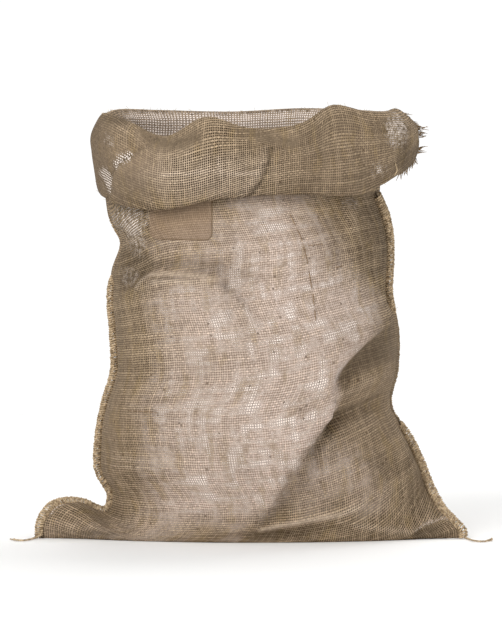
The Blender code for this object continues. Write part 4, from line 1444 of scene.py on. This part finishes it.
# %% Fray the end of the cuff
# The raw edge runs on up round the end of the cuff, and the threads there point outward.
END_FROM, END_TO = 0.96, 1.20           # places round the mouth
END_PITCH = FRAY_PITCH * 0.5            # the threads crowd together round the end
STILL_WOVEN = (0.445, 0.455)            # between these heights no threads have come loose
ROWS_AHEAD = 4                          # rows that show which way the edge runs
first_row = CUFF_START + ROUND_ROWS
end_columns = slice(int(END_FROM * PANEL_COLUMNS), int(END_TO * PANEL_COLUMNS))
end_points = [ring[end_columns][np.argmax(ring[end_columns, 0])] for ring in places[first_row:]]
end_run = np.cumsum(np.linalg.norm(np.diff(end_points, axis=0), axis=1))
for at in np.arange(0, end_run[-1], END_PITCH):
    k = int(np.searchsorted(end_run, at))
    if STILL_WOVEN[0] < end_points[k][2] < STILL_WOVEN[1]:
        continue
    ahead = end_points[min(k + ROWS_AHEAD, len(end_points) - 1)]
    around_end = Vector(ahead) - Vector(end_points[k])
    way = Vector((1, draw.uniform(-0.5, 0.2), -around_end.normalized().x)).normalized()
    fray(Vector(end_points[k]), way, Vector((0, 0, draw.uniform(-0.4, 0.4))))
fringe = strands("frayed_edge", frayed, FRAY_RADIUS, raw_fibre, thin_ends=0.5)
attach(fringe, "root")
print("frayed thread ends:", len(frayed))

# %% [markdown]
# ## Fluff
# Jute is hairy. Short fibres stand off the sewn sides, the rim and the foot of the cuff, and
# they are what keeps the sack's outline from looking cut out. They are needed only where the
# outline can be, so each is a thin strand with three points, rooted on those rows and columns.

# %% Loose fibres
FLUFF_RADIUS = 0.00015
FLUFF_LENGTH = (0.0015, 0.0045)
FIRST_FLUFF_ROW = 30                    # the ears below it are pressed smooth
RIM_ROW, HEM_ROW = CUFF_START + 5, CUFF_START + 34
SIDES_BEYOND, SIDEWAYS = 0.14, 1.2      # fibres on the sack's sides point more to the side
fluff = []
ridges = [places[row, k] for row in range(FIRST_FLUFF_ROW, BODY_ROWS) for k in seam_columns
          if tucked_back(k, places[row, k, 2]) < 0.5]
rims = [places[RIM_ROW, k] for k in range(COLUMNS)]
hems = [places[HEM_ROW, k] for k in range(PANEL_COLUMNS)]
for root in ridges * 3 + rims * 2 + hems:
    way = Vector([draw.gauss(0, 1) for axis in range(3)]).normalized()
    if abs(root[0]) > SIDES_BEYOND:
        way = (way + Vector((math.copysign(SIDEWAYS, root[0]), 0, 0))).normalized()
    start = Vector(root) + Vector([draw.uniform(-0.0003, 0.0003) for axis in range(3)])
    bend = Vector([draw.uniform(-0.5, 0.5) for axis in range(3)])
    length = draw.uniform(*FLUFF_LENGTH)
    fluff.append([tuple(start), tuple(start + way * length * 0.5),
                  tuple(start + (way + bend) * length)])
fibres = strands("fluff", fluff, FLUFF_RADIUS, pale_jute, resolution=0)
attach(fibres, "root")
print("loose fibres:", len(fluff))

# %% [markdown]
# ## Odd threads and flecks
# Some yarns are darker than the rest, the side seam's thread shows as a pale double line where
# the cuff flares, and small dark flecks of bark are caught in the weave. They could be painted,
# but a real thread stands a little proud and throws a thin shadow. All of them lie on the cloth,
# so their places are found by looking straight back at it from the front.

# %% Find places on the cloth
def on_front(x, z, proud=0.0):
    """The first place on the cloth straight behind a point seen from the front."""
    hit = surface_tree.ray_cast(Vector((x, -1.0, z)), Vector((0, 1, 0)))[0]
    return hit + Vector((0, -proud, 0))


def laid_on_front(line, steps, proud):
    """A smooth line over the front of the cloth."""
    return [tuple(on_front(x, z, proud)) for x, z in smooth_route(line, steps)]


# %% Dark yarns
DARK_RADIUS = 0.0005
LAID_STEPS = 40
DASH, DASH_EVERY = 6, 7     # points in a dash, and from one dash to the next
DARK_YARNS = [
    [(0.044, 0.373), (0.059, 0.339), (0.069, 0.288), (0.073, 0.254)],
    [(0.065, 0.338), (0.073, 0.3385), (0.081, 0.3395)],
    [(0.096, 0.3130), (0.100, 0.3135), (0.104, 0.3145)],
    [(-0.140, 0.1490), (-0.122, 0.1495), (-0.105, 0.1485)],
]
dark_lines = []
for route in DARK_YARNS:
    laid = laid_on_front(route, LAID_STEPS, DARK_RADIUS)
    wavy = [(x + draw.uniform(-0.0003, 0.0003), y, z) for x, y, z in laid]
    dark_lines += [wavy[k:k + DASH] for k in range(0, LAID_STEPS, DASH_EVERY)]
dark_yarn = strands("dark_yarn", dark_lines, DARK_RADIUS, dark_jute, thin_ends=0.3)
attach(dark_yarn, "root")
print("dashes of dark yarn:", len(dark_lines))

# %% The seam's thread in the cuff and its loose end
THREAD_RADIUS = 0.0006
THREAD_APART = 0.0014       # from the middle of the double line to each thread
THREAD_STEPS, LOOSE_END_STEPS = 24, 12
LOOSE_END = [(0.1640, -0.058, 0.4290), (0.1662, -0.060, 0.4215), (0.1635, -0.060, 0.4150)]
cuff_threads = [laid_on_front([(aside + 0.1400, 0.4830), (aside + 0.1465, 0.4740),
                               (aside + 0.1580, 0.4470), (aside + 0.1640, 0.4280)],
                              THREAD_STEPS, THREAD_RADIUS / 2)
                for aside in (-THREAD_APART, THREAD_APART)]
cuff_threads.append([tuple(p) for p in smooth_route(LOOSE_END, LOOSE_END_STEPS)])
cuff_thread = strands("cuff_seam_thread", cuff_threads, THREAD_RADIUS, pale_jute,
                      thin_ends=0.3)
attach(cuff_thread, "root")
print("threads in the cuff:", len(cuff_threads))

# %% Flecks of bark
FLECK_RADIUS = 0.0006
FLECKS = [(0.027, 0.277), (0.075, 0.351), (0.070, 0.337), (0.097, 0.311), (0.052, 0.280),
          (0.001, 0.268), (0.017, 0.189), (-0.036, 0.127), (-0.003, 0.085), (0.030, 0.065),
          (0.099, 0.140), (-0.090, 0.235), (-0.060, 0.160)]
form = bmesh.new()
for x, z in FLECKS:
    place = on_front(x, z)
    made = bmesh.ops.create_icosphere(form, subdivisions=1, radius=FLECK_RADIUS)["verts"]
    bmesh.ops.scale(form, verts=made, vec=(draw.uniform(1.2, 2.6), 0.8, draw.uniform(0.8, 1.3)))
    tilt = Matrix.Rotation(draw.uniform(-0.7, 0.7), 3, 'Y')
    bmesh.ops.rotate(form, verts=made, cent=(0, 0, 0), matrix=tilt)
    bmesh.ops.translate(form, verts=made, vec=place)
flecks = new_object("bark_flecks", form, bark)
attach(flecks, "root")
print("flecks:", len(FLECKS))
